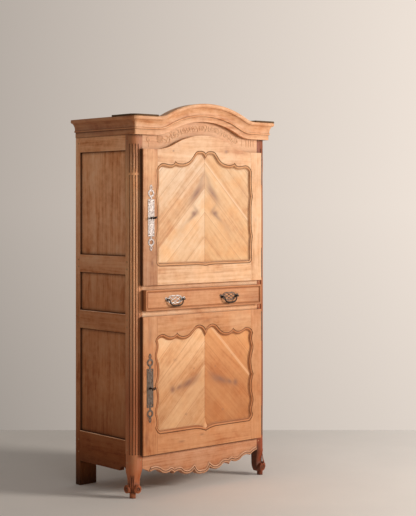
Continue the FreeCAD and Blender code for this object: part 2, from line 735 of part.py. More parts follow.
def make_back():
    rails = []
    for low in BACK_RAILS:
        tenon = back_tenon(low, "0")
        body = board(("-rear_opening", "rear_opening"),
                     ("back_inner", "back_inner + back_rail_thickness"),
                     (low, f"{low} + back_rail_height"))
        rails.append(fuse(body, tenon, mirrored(tenon)))
    node("back_rails", *rails)
    width = "(2 * rear_opening - board_gap) / 5"
    y = ("back_inner + back_rail_thickness",
         "back_inner + back_rail_thickness + back_board_thickness")
    boards = [board((f"{width} * {step} - rear_opening + board_gap",
                     f"{width} * {step + 1} - rear_opening"), y, ("back_boards_low", "carcass_top"))
              for step in range(5)]
    node("back_boards", *boards)


def floor_boards(top, thickness):
    """A floor between the side frames: three boards and a strip between the front posts."""
    z = (f"{top} - {thickness}", top)
    y_low, y_high = "front_post_depth + seat_gap", "back_inner - seat_gap"
    width = f"(rear_face - front_post_depth - 2 * seat_gap) / 3"
    x = ("seat_gap - rail_inner", "rail_inner - seat_gap")
    boards = [board(x, (f"{y_low} + {width} * {step}",
                        f"{y_low} + {width} * {step + 1} - board_gap"), z) for step in range(3)]
    strip = board(("seat_gap - opening", "opening - seat_gap"),
                  ("front_rail_thickness + seat_gap", "front_post_depth"), z)
    return boards + [strip]


FLOORS = (("floor_top", "floor_thickness"), ("drawer_floor_top", "floor_thickness"),
          ("middle_floor_top", "floor_thickness"))
SHELVES = ("upper_shelf_low", "upper_shelf_high", "lower_shelf")


def make_inside():
    floors = []
    for top, thickness in FLOORS:
        floors += floor_boards(top, thickness)
    node("inner_floors", *floors)
    shelves = []
    for low in SHELVES:
        shelves += floor_boards(f"{low} + shelf_thickness", "shelf_thickness")[:3]
    node("shelves", *shelves)
    battens = []
    lows = [f"{top} - {thickness} - batten_height" for top, thickness in FLOORS] + \
           [f"{low} - batten_height" for low in SHELVES]
    for low in lows:
        batten = board(("-rail_inner", "batten_width - rail_inner"),
                       ("front_post_depth", "rear_face"), (low, f"{low} + batten_height"))
        battens += [batten, mirrored(batten)]
    node("shelf_battens", *battens)
    guide = board(("-rail_inner", "seat_gap - opening"), ("front_post_depth", "rear_face"),
                  ("drawer_floor_top", "drawer_floor_top + batten_height"))
    node("drawer_guides", guide, mirrored(guide))


# ---------------------------------------------------------------- hinges
def hinge_heights():
    """The lowest point of each hinge, two on each door."""
    ends = ("lower_door_bottom + hinge_end_distance",
            "lower_door_top - hinge_end_distance - 2 * barrel_length",
            "upper_door_bottom + hinge_end_distance",
            "upper_door_top - hinge_end_distance - 2 * barrel_length")
    return ends


def hinge_leaf(low, side, fit):
    """The leaf that lets a hinge into the post or the door's edge, or its slot."""
    half_leaf = f"(leaf_thickness / 2 + {fit})"
    if side == "post":
        return board((f"hinge_x - {half_leaf}", f"hinge_x + {half_leaf}"),
                     ("hinge_y", f"leaf_depth + {fit}"),
                     (f"{low} + leaf_far_gap - {fit}", f"{low} + barrel_length - leaf_near_gap + {fit}"))
    return board((f"door_half - leaf_depth - {fit}", "hinge_x"),
                 (f"hinge_y - {half_leaf}", f"hinge_y + {half_leaf}"),
                 (f"{low} + barrel_length + leaf_near_gap - {fit}",
                  f"{low} + 2 * barrel_length - leaf_far_gap + {fit}"))


def hinge_pintle(low):
    """The fixed half of a hinge: lower barrel with a ball finial, pin and leaf."""
    barrel = rod("barrel_radius", "barrel_length", "hinge_x", "hinge_y", low)
    pin = rod("pin_radius", "barrel_length + pin_rise", "hinge_x", "hinge_y", low)
    finial = ball("barrel_radius * 0.9", "hinge_x", "hinge_y", f"{low} - barrel_radius * 0.4")
    return fuse(barrel, pin, finial, hinge_leaf(low, "post", "0"))


def hinge_knuckle(low):
    """The moving half: upper barrel bored for the pin, with its leaf in the door."""
    start = f"{low} + barrel_length + seat_gap"
    barrel = rod("barrel_radius", "barrel_length - seat_gap", "hinge_x", "hinge_y", start)
    finial = ball("barrel_radius * 0.9", "hinge_x", "hinge_y",
                  f"{low} + 2 * barrel_length + barrel_radius * 0.4")
    bore = rod("pin_radius + pin_fit", "pin_rise + 2", "hinge_x", "hinge_y",
               f"{low} + barrel_length - 1")
    return cut(fuse(barrel, finial, hinge_leaf(low, "door", "0")), bore)


# ---------------------------------------------------------------- locks, keys and plates
DOORS = ("lower", "upper")


def bolt_bar(door, fit, throw):
    """The sliding bolt, or the mortise that it enters in the post."""
    z = f"{door}_keyhole + bolt_lift"
    return board((f"case_left - ({throw})", "case_left + case_width * 0.8"),
                 (f"bolt_y - bolt_thickness / 2 - {fit}", f"bolt_y + bolt_thickness / 2 + {fit}"),
                 (f"{z} - {fit}", f"{z} + bolt_height + {fit}"))


def lock_case(door):
    """The iron case on the inside of the lock stile, open towards the wood."""
    middle = f"{door}_keyhole + case_height * 0.1"
    low, high = f"{middle} - case_height / 2", f"{middle} + case_height / 2"
    shell = board(("case_left", "case_left + case_width"),
                  ("door_back", "door_back + case_depth"), (low, high))
    room = board(("case_left + case_wall", "case_left + case_width - case_wall"),
                 ("door_back - 1", "door_back + case_depth - case_wall"),
                 (f"{low} + case_wall", f"{high} - case_wall"))
    return cut(shell, room, bolt_bar(door, "bolt_fit", "case_wall"))


def lock_key(door):
    """The key: shank, collar, bit and ring bow, as it stands in the lock."""
    x, height = f"{door}_key_x", f"{door}_keyhole"
    start = "-door_stand - key_reach"
    end = "door_back + case_depth - case_wall - seat_gap"
    shank = rod("key_radius", f"{end} - ({start} + bow_radius)", x, f"{start} + bow_radius",
                height, TURN_Y)
    collar = rod("key_radius * 1.5", "5", x, "-door_stand - 8", height, TURN_Y)
    bit = board((f"{x} - bit_thickness / 2", f"{x} + bit_thickness / 2"),
                ("bolt_y - bolt_thickness / 2", "bolt_y + bolt_thickness / 2"),
                (f"{height} - key_bit", height))
    bow = DOC.addObject("Part::Torus", "Bow")
    bind(bow, "Radius1", "bow_radius")
    bind(bow, "Radius2", "bow_wire")
    place(bow, x, start, height, FreeCAD.Rotation(V(0, 1, 0), -size("bow_tilt")))
    return fuse(shank, collar, bit, bow)


def keyhole(door):
    """A round bore for the shank with a slot below it for the bit."""
    x, z = f"{door}_key_x", f"{door}_keyhole"
    y = ("-door_stand - 5", "door_back + 5")
    bore = rod("key_radius + key_fit", f"({y[1]}) - ({y[0]})", x, y[0], z, TURN_Y)
    slot = board((f"{x} - bit_thickness / 2 - seat_gap", f"{x} + bit_thickness / 2 + seat_gap"),
                 y, (f"{z} - key_bit - 1", z))
    return fuse(bore, slot)


def escutcheon(door):
    """A long pierced lock plate: blocks, necks and looped finials above and below the keyhole."""
    x, middle = f"{door}_key_x", f"{door}_keyhole"
    start, deep = "-door_stand - plate_thickness", "plate_thickness"
    y = (start, "-door_stand")
    half, wide = f"{door}_plate_half", "plate_width"

    def disc(radius, z):
        return rod(radius, deep, x, start, z, TURN_Y)

    def hole(radius, offset, z):
        return rod(radius, "6", f"{x} + {offset}", "-door_stand - 3", z, TURN_Y)

    solids = [board((f"{x} - {wide} / 2", f"{x} + {wide} / 2"), y,
                    (f"{middle} - {half} * 0.56", f"{middle} + {half} * 0.56")),
              board((f"{x} - 5", f"{x} + 5"), y,
                    (f"{middle} - {half} + 12", f"{middle} + {half} - 12"))]
    holes = [keyhole(door)]
    for side in ("+", "-"):
        ring, tip = f"{middle} {side} {half} * 0.74", f"{middle} {side} ({half} - 14)"
        solids += [disc(f"{wide} * 0.48", ring), disc("9", tip)]
        solids.append(disc("5", f"{middle} {side} ({half} - 5)"))
        holes += [hole(f"{wide} * 0.26", "0", ring), hole("4.5", "0", tip)]
        for share in (0.2, 0.5):
            holes += [hole("4", f"{wide} * {column}", f"{middle} {side} {half} * {share}")
                      for column in (-0.27, 0.27)]
    return cut(fuse(*solids), *holes)


# ---------------------------------------------------------------- doors
def door_blank(door):
    """The whole door before it is divided into stiles and rails: lipped face and tongue."""
    low, inset = size(door + "_door_bottom"), size("tongue_inset")
    front, gap, back = size("door_front"), size("seat_gap"), size("door_back")
    half = size("door_half")
    if door == "upper":
        face = arched_slab(0, half, low, front, -gap)
        tongue = arched_slab(-inset, half - inset, low + inset, -gap, back)
    else:
        high = size("lower_door_top")
        face = Part.makeBox(2 * half, -gap - front, high - low, V(-half, front, low))
        tongue = Part.makeBox(2 * (half - inset), back + gap, high - low - 2 * inset,
                              V(inset - half, -gap, low + inset))
    return face.fuse(tongue).removeSplitter()


def door_tenons(door, end, fit):
    """The pair of tenons of a door rail, grown by the fit for their mortises."""
    margin = "door_panel_margin + 5"
    if end == "top":
        z = (f"{door}_valley + scallop_brow + {margin} - {fit}", f"{door}_door_top - 16 + {fit}")
    else:
        z = (f"{door}_door_bottom + 22 - {fit}",
             f"{door}_sill - {door}_pendant - {margin} + {fit}")
    y = (f"panel_front - {fit}", f"panel_front + tenon_thickness + {fit}")
    left = board((f"lock_shoulder - door_tenon - {fit}", "lock_shoulder + 1"), y, z)
    right = board(("hinge_shoulder - 1", f"hinge_shoulder + door_tenon + {fit}"), y, z)
    return [left, right]


def make_door(door):
    blank = shaped(door_blank(door))
    opening = shaped(scalloped_opening(door, -60, 60))
    room = shaped(panel_blank(door, size("seat_gap"), "both"))
    deep = ("-door_stand - 5", "door_back + 5")
    tall = (f"{door}_door_bottom - 5", f"{door}_door_top + arch_rise + 5")
    middle = f"({door}_sill + {door}_valley) / 2"
    mortises = door_tenons(door, "top", "joint_fit") + door_tenons(door, "bottom", "joint_fit")
    heights = [z for z in hinge_heights() if z.startswith(door)]
    slots = [hinge_leaf(z, "door", "joint_fit") for z in heights]

    stile = common(blank, board(("-door_half - 5", "lock_shoulder"), deep, tall))
    node(f"{door}_lock_stile", cut(stile, opening, room, *mortises, keyhole(door)))
    stile = common(blank, board(("hinge_shoulder", "door_half + 5"), deep, tall))
    node(f"{door}_hinge_stile", cut(stile, opening, room, *mortises, *slots))
    between = ("lock_shoulder", "hinge_shoulder")
    for end, z in (("top", (middle, tall[1])), ("bottom", (tall[0], middle))):
        rail = fuse(common(blank, board(between, deep, z)), *door_tenons(door, end, "0"))
        node(f"{door}_door_{end}_rail", cut(rail, opening, room))
    node(f"{door}_door_panel", shaped(panel_blank(door, 0, "left")),
         shaped(panel_blank(door, 0, "right")))
    node(f"{door}_hinge_knuckles", *[hinge_knuckle(z) for z in heights])
    node(f"{door}_escutcheon", escutcheon(door))
    node(f"{door}_lock_case", lock_case(door))
    node(f"{door}_lock_bolt", bolt_bar(door, "0", "0"))
    node(f"{door}_key", lock_key(door))


# ---------------------------------------------------------------- drawer
def make_drawer():
    half, box = "drawer_half", "drawer_box"
    inner = "drawer_box - drawer_side_thickness"
    low = "drawer_opening_low + runner_clearance"
    high = "drawer_opening_high - drawer_play"
    bottom = f"{low} + drawer_bottom_lift"
    length = "drawer_length"
    x_room = (f"-({inner}) - drawer_groove", f"{inner} + drawer_groove")
    floor = board(x_room, ("drawer_groove", f"{length} - seat_gap"),
                  (bottom, f"{bottom} + drawer_bottom_thickness"))
    room = board((f"{x_room[0]} - seat_gap", f"{x_room[1]} + seat_gap"),
                 ("drawer_groove - seat_gap", f"{length} + 1"),
                 (f"{bottom} - joint_fit", f"{bottom} + drawer_bottom_thickness + joint_fit"))
    face = board((f"-({half})", half), ("-drawer_stand", "-seat_gap"),
                 ("drawer_bottom", "drawer_top"))
    tongue = board((f"-({inner})", inner), ("-seat_gap - 1", "drawer_side_thickness"), (low, high))
    node("drawer_front", cut(fuse(face, tongue), room))
    side = cut(board((f"-({box})", f"-({inner})"), ("-seat_gap", length), (low, high)), room)
    node("drawer_sides", side, mirrored(side))
    back = board((f"-({inner})", inner), (f"{length} - drawer_side_thickness", length),
                 (f"{bottom} + drawer_bottom_thickness + joint_fit", high))
    node("drawer_back", back)
    node("drawer_base", floor)


def handle_plate(centre):
    """A pierced plate with a rosette at each end and two bored ears for the bail."""
    start, z = "-drawer_stand - plate_thickness", "handle_height"
    solids = [board((f"{centre} - bail_span / 2", f"{centre} + bail_span / 2"),
                    (start, "-drawer_stand"),
                    (f"{z} - handle_plate_height / 2", f"{z} + handle_plate_height / 2"))]
    holes = [rod("5", "6", f"{centre} + bail_span * {share}", "-drawer_stand - 4", z, TURN_Y)
             for share in (-0.2, 0, 0.2)]
    for side in ("-", "+"):
        x = f"{centre} {side} bail_span / 2"
        ear_start = f"{x} - ear_length / 2"
        solids.append(rod("rosette_radius", "plate_thickness", x, start, z, TURN_Y))
        solids.append(rod("ear_radius - 1", "ear_stand", x, "bail_y", z, TURN_Y))
        solids.append(rod("ear_radius", "ear_length", ear_start, "bail_y", z, TURN_X))
        holes.append(rod("bail_radius + bail_fit", "4 * ear_radius", f"{x} - 2 * ear_radius",
                         "bail_y", z, TURN_X))
    return cut(fuse(*solids), *holes)


def bail_shape(centre):
    """A bail bent from one bar: pins turned outwards through the ears, drops and a grip."""
    half, drop = size("bail_span") / 2, size("bail_drop")
    bend, corner = size("bail_bend"), size("bail_corner")
    inside = half - size("ear_length") / 2 - bend - 0.5
    outside = half + size("ear_length") / 2 + 1.5
    near = 1 - math.sqrt(0.5)

    def spot(x, z):
        return V(centre + x, size("bail_y"), size("handle_height") + z)

    def turned(side):
        pin, knee = spot(side * (inside + bend), 0), spot(side * inside, -bend)
        grip, end = spot(side * inside, corner - drop), spot(side * (inside - corner), -drop)
        return [
            Part.LineSegment(spot(side * outside, 0), pin),
            Part.Arc(pin, spot(side * (inside + bend * near), -bend * near), knee),
            Part.LineSegment(knee, grip),
            Part.Arc(grip, spot(side * (inside - corner * near), corner * near - drop), end),
        ]

    middle = Part.LineSegment(spot(corner - inside, -drop), spot(inside - corner, -drop))
    edges = [line.toShape() for line in turned(-1) + turned(1) + [middle]]
    path = Part.Wire(Part.__sortEdges__(edges))
    end = path.OrderedVertexes[0].Point
    ring = Part.Wire(Part.makeCircle(size("bail_radius"), end, V(1, 0, 0)))
    return path.makePipeShell([ring], True, False)


def make_handles():
    node("handle_plates", handle_plate("left_handle"), handle_plate("right_handle"))
    for side in ("left", "right"):
        node(f"{side}_bail", shaped(bail_shape(size(f"{side}_handle"))))


# ---------------------------------------------------------------- build and export
def check_and_export():
    """Refuse a failed object or a bad shape, then write each sub-part to its file."""
    DOC.recompute()
    for item in DOC.Objects:
        if {"Invalid", "Error"} & set(item.State):
            raise RuntimeError(f"{item.Label} ({item.Name}) did not compute: {item.State}")
    for item in NODES:
        if item.Shape.isNull() or not item.Shape.isValid() or not item.Shape.Solids:
            raise RuntimeError(f"{item.Label} has no valid solid")
    os.makedirs("parts", exist_ok=True)
    for item in NODES:
        item.Shape.exportStep(f"parts/{item.Label}.step")
        box = item.Shape.BoundBox
        print(f"{item.Label:26s} solids {len(item.Shape.Solids):3d}  "
              f"x {box.XMin:8.1f} {box.XMax:8.1f}  y {box.YMin:8.1f} {box.YMax:8.1f}  "
              f"z {box.ZMin:8.1f} {box.ZMax:8.1f}")


make_posts()
make_side_frames()
make_front_rails()
make_pegs()
make_cornice()
make_top()
make_back()
make_inside()
node("hinge_pintles", *[hinge_pintle(z) for z in hinge_heights()])
for door_name in DOORS:
    make_door(door_name)
make_drawer()
make_handles()
check_and_export()
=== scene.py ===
import json
import math

import bmesh
import bpy
import numpy as np
from bpy.props import FloatProperty, FloatVectorProperty, PointerProperty
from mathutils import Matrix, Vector


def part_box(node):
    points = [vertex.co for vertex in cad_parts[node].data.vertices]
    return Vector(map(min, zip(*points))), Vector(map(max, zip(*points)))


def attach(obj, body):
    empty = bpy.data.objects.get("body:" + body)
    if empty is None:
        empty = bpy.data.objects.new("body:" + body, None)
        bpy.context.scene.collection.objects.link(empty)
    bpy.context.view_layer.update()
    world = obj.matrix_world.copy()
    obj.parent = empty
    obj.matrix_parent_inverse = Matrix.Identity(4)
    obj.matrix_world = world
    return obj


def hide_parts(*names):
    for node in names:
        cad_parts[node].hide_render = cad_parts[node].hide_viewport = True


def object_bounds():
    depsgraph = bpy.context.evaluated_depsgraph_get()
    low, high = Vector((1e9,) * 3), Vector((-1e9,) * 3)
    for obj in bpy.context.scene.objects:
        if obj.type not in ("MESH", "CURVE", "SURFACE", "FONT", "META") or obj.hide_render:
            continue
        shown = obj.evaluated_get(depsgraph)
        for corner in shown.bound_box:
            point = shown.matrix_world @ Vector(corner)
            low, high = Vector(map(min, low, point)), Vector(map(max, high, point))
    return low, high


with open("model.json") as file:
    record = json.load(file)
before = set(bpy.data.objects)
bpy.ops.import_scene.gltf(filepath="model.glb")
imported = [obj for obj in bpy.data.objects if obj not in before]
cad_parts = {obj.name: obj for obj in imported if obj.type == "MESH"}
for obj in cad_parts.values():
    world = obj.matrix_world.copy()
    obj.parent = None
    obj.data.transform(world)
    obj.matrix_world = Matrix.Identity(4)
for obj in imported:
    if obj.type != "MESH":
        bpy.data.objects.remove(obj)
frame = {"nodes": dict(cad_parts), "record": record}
CAD_BOX = [list(corner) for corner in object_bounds()]

bl_info = {
    "name": "Bonnetiere cabinet",
    "version": (1, 0, 0),
    "blender": (4, 5, 0),
    "location": "View3D > Sidebar > Bonnetiere",
    "description": "Dresses a bonnetiere's joinery with mouldings, carving, metal and waxed wood",
    "category": "Object",
}

MM = 0.001
NODES = frame["nodes"]
BODY_OF = {node: body for body, nodes in frame["record"]["behaviour"]["bodies"].items()
           for node in nodes}
DOORS = ("upper", "lower")
FACE_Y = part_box("frieze_rail")[0].y  # front plane of the posts and front rails
DOOR_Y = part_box("lower_lock_stile")[0].y  # face of the doors
PANEL_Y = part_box("lower_door_panel")[0].y  # face of the door panels
DRAWER_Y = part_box("drawer_front")[0].y + 5 * MM  # the sunk field of the drawer front
LEAF_X = sum(c.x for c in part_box("lower_door_panel")) / 2  # where the two leaves of a panel meet
SIDES = ((-1, "left"), (1, "right"))


# ---- sizes and colours that can be changed
def srgb(red, green, blue):
    """A screen colour, 0 to 255, as the linear colour that shaders use."""
    def linear(value):
        value /= 255
        return value / 12.92 if value <= 0.04045 else ((value + 0.055) / 1.055) ** 2.4
    return (linear(red), linear(green), linear(blue))


def colour(name, description, red, green, blue):
    """A colour that can be changed, from its screen colour."""
    return FloatVectorProperty(name=name, description=description, size=3, subtype="COLOR",
                               min=0, max=1, default=srgb(red, green, blue))


def length(name, description, default):
    """A size that can be changed, in metres."""
    return FloatProperty(name=name, description=description, default=default,
                         min=0, unit="LENGTH", subtype="DISTANCE")


class BonnetiereWoods(bpy.types.PropertyGroup):
    """Colours of the waxed and the bare wood."""
    upper_door: colour("Upper door", "Frame of the arched door", 230, 181, 138)
    upper_panel: colour("Upper panel", "Leaves of the arched door's panel", 232, 185, 142)
    lower_door: colour("Lower door", "Frame of the lower door", 209, 145, 97)
    lower_panel: colour("Lower panel", "Leaves of the lower door's panel", 236, 181, 131)
    drawer: colour("Drawer", "Drawer front", 209, 146, 99)
    frieze: colour("Frieze", "Arched frieze and its carving", 217, 164, 121)
    cornice: colour("Cornice", "Cornice mouldings", 229, 172, 128)
    posts: colour("Posts", "Reeded corner posts and feet", 252, 188, 138)
    apron: colour("Apron", "Scalloped front apron", 190, 128, 88)
    sides: colour("Sides", "Side frames and side panels", 244, 180, 136)
    inside: colour("Inside", "Bare boards of the back, floors and shelves", 176, 138, 100)


class BonnetiereSizes(bpy.types.PropertyGroup):
    """Sizes of the worn edges and of the door mouldings."""
    worn_edge: length("Worn edge", "Rounding of the wooden edges", 1.3 * MM)
    moulding: length("Moulding", "Width of the moulding round a door panel", 20 * MM)


class BonnetiereStage(bpy.types.PropertyGroup):
    """Floor, light and camera."""
    floor: colour("Floor", "Floor under the cupboard", 236, 226, 216)
    backdrop: colour("Backdrop", "Wall behind the cupboard", 216, 205, 195)
    key: FloatProperty(name="Key light", description="Power of the large soft light", default=276,
                       min=0, unit="POWER")
    fill: FloatProperty(name="Fill", description="Brightness of the room", default=0.27, min=0)
    lens: FloatProperty(name="Lens", description="Focal length of the camera", default=90.74,
                        min=1, subtype="DISTANCE_CAMERA", unit="CAMERA")


def woods():
    return bpy.context.scene.bonnetiere_woods


def sizes():
    return bpy.context.scene.bonnetiere_sizes


# ---- shaders as sums
class Signal:
    """A node's socket that joins in sums, so that mask * 0.5 adds a Math node."""

    def __init__(self, finish, socket):
        self.finish, self.socket = finish, socket

    def math(self, operation, *values, clamp=False):
        return self.finish.node("ShaderNodeMath", {"operation": operation, "use_clamp": clamp}, values)

    def __add__(self, other):
        return self.math("ADD", self, other)

    def __sub__(self, other):
        return self.math("SUBTRACT", self, other)

    def __rsub__(self, other):
        return self.math("SUBTRACT", other, self)

    def __mul__(self, other):
        return self.math("MULTIPLY", self, other)

    def __truediv__(self, other):
        return self.math("DIVIDE", self, other)

    def __pow__(self, other):
        return self.math("POWER", self, other)

    def __abs__(self):
        return self.math("ABSOLUTE", self)

    def __gt__(self, other):
        return self.math("GREATER_THAN", self, other)

    __radd__, __rmul__ = __add__, __mul__

    def sine(self):
        return self.math("SINE", self)

    def clamped(self):
        return self.math("ADD", self, 0, clamp=True)

    def fading(self):
        return self.math("POWER", math.e, self * -1)

    def bell(self):
        return (self * self).fading()


class Finish:
    """One material, or the world, and the nodes that it is made of."""

    def __init__(self, name, shelf="materials"):
        self.block = getattr(bpy.data, shelf).new(name)
        self.block.use_nodes = True
        self.tree = self.block.node_tree
        self.tree.nodes.clear()

    def node(self, kind, settings=None, inputs=(), output=0):
        """Add a node: its settings are set first, then its sockets get values or links."""
        made = self.tree.nodes.new(kind)
        for key, value in (settings or {}).items():
            if key == "stops":
                self.set_stops(made.color_ramp, value)
            else:
                setattr(made, key, value)
        pairs = inputs.items() if isinstance(inputs, dict) else enumerate(inputs)
        for key, value in pairs:
            if isinstance(value, Signal):
                self.tree.links.new(value.socket, made.inputs[key])
            else:
                made.inputs[key].default_value = value
        return Signal(self, made.outputs[output])

    @staticmethod
    def set_stops(ramp, stops):
        while len(ramp.elements) < len(stops):
            ramp.elements.new(0.5)
        for element, (position, tone) in zip(ramp.elements, stops):
            element.position, element.color = position, (*tone, 1)

    def parts(self, vector):
        """The x, y and z of a vector."""
        return [self.node("ShaderNodeSeparateXYZ", None, [vector], output=axis) for axis in range(3)]

    def place(self):
        """Where a point of the piece is, as x, y and z."""
        return self.parts(self.node("ShaderNodeTexCoord", output="Object"))

    def noise(self, x, y, z, detail=2.0, roughness=0.5):
        vector = self.node("ShaderNodeCombineXYZ", None, [x, y, z])
        return self.node("ShaderNodeTexNoise", None,
                         {"Vector": vector, "Scale": 1.0, "Detail": detail, "Roughness": roughness})

    def crevice(self, reach):
        """How open a point is: 1 on a flat face, less where others stand within a distance."""
        return self.node("ShaderNodeAmbientOcclusion", {"samples": 8}, {"Distance": reach},
                         output="AO")

    def mix(self, factor, first, second, blend="MIX"):
        """Two colours mixed; either may be a plain linear colour."""
        first, second = [c if isinstance(c, Signal) else (*c, 1) for c in (first, second)]
        return self.node("ShaderNodeMix", {"data_type": "RGBA", "blend_type": blend},
                         {0: factor, 6: first, 7: second}, output=2)

    def highest(self, first, second):
        return first.math("MAXIMUM", first, second)

    def ramp(self, value, *stops):
        return self.node("ShaderNodeValToRGB", {"stops": stops}, [value])

    def surface(self, base, roughness, height, depth, **fixed):
        """Close the material with a shader; fixed values stay on the shader's own sockets."""
        bump = self.node("ShaderNodeBump", None, {"Strength": 1.0, "Distance": depth, "Height": height})
        sockets = {"Base Color": base, "Roughness": roughness, "Normal": bump}
        sockets.update({key.replace("_", " "): value for key, value in fixed.items()})
        return self.close(self.node("ShaderNodeBsdfPrincipled", None, sockets), "Material")

    def close(self, shader, kind):
        """Lead a shader to the output of a Material or of the World."""
        out = self.tree.nodes.new(f"ShaderNodeOutput{kind}")
        self.tree.links.new(shader.socket, out.inputs["Surface"])
        return self.block


def dim(tone, factor):
    """A colour made darker or lighter."""
    return tuple(min(1.0, part * factor) for part in tone)


def shade(tone, factor):
    """A wood's colour made darker or lighter: wood turns redder as it darkens."""
    return tuple(min(1.0, part * factor ** power) for part, power in zip(tone, (0.62, 1.14, 1.7)))


DIRT_AND_SHADE_TONE = (0.075, 0.030, 0.014)  # dark brown of dirty corners and of painted shade: in corners, on the shaded returns of doors and inside a foot
MARK = (0.35, 0.265, 0.28)  # a knot, as shares of the wood's colour
WARM = (1.0, 0.82, 0.62)  # patches of old wax, as shares of it
TONES = ((0.0, 0.55), (0.25, 0.80), (0.5, 1.0), (0.75, 1.12), (1.0, 1.26))  # from dark to pale grain
GRAIN = {"X": (2, 1, 0), "Y": (2, 0, 1), "Z": (0, 1, 2)}  # across, through and along the boards
SLANT = 0.7071  # of boards laid at 45 degrees
JOINT_LINE, FOLD_LINE, SEAM_LINE, GOLD_LINE = 1.4 * MM, 1.5 * MM, 2.2 * MM, 8 * MM  # half-widths
# depth of the painted shade on a door's returns, width of a darkened border, blend of the painted shade
# inside a foot
FLANK_DEPTH, RIM_WIDTH, GLOOM_BLEND = 15 * MM, 17 * MM, 30 * MM
CORNER_REACH = 20 * MM  # how far from a corner the darkening reaches, partly dirty and partly painted shade


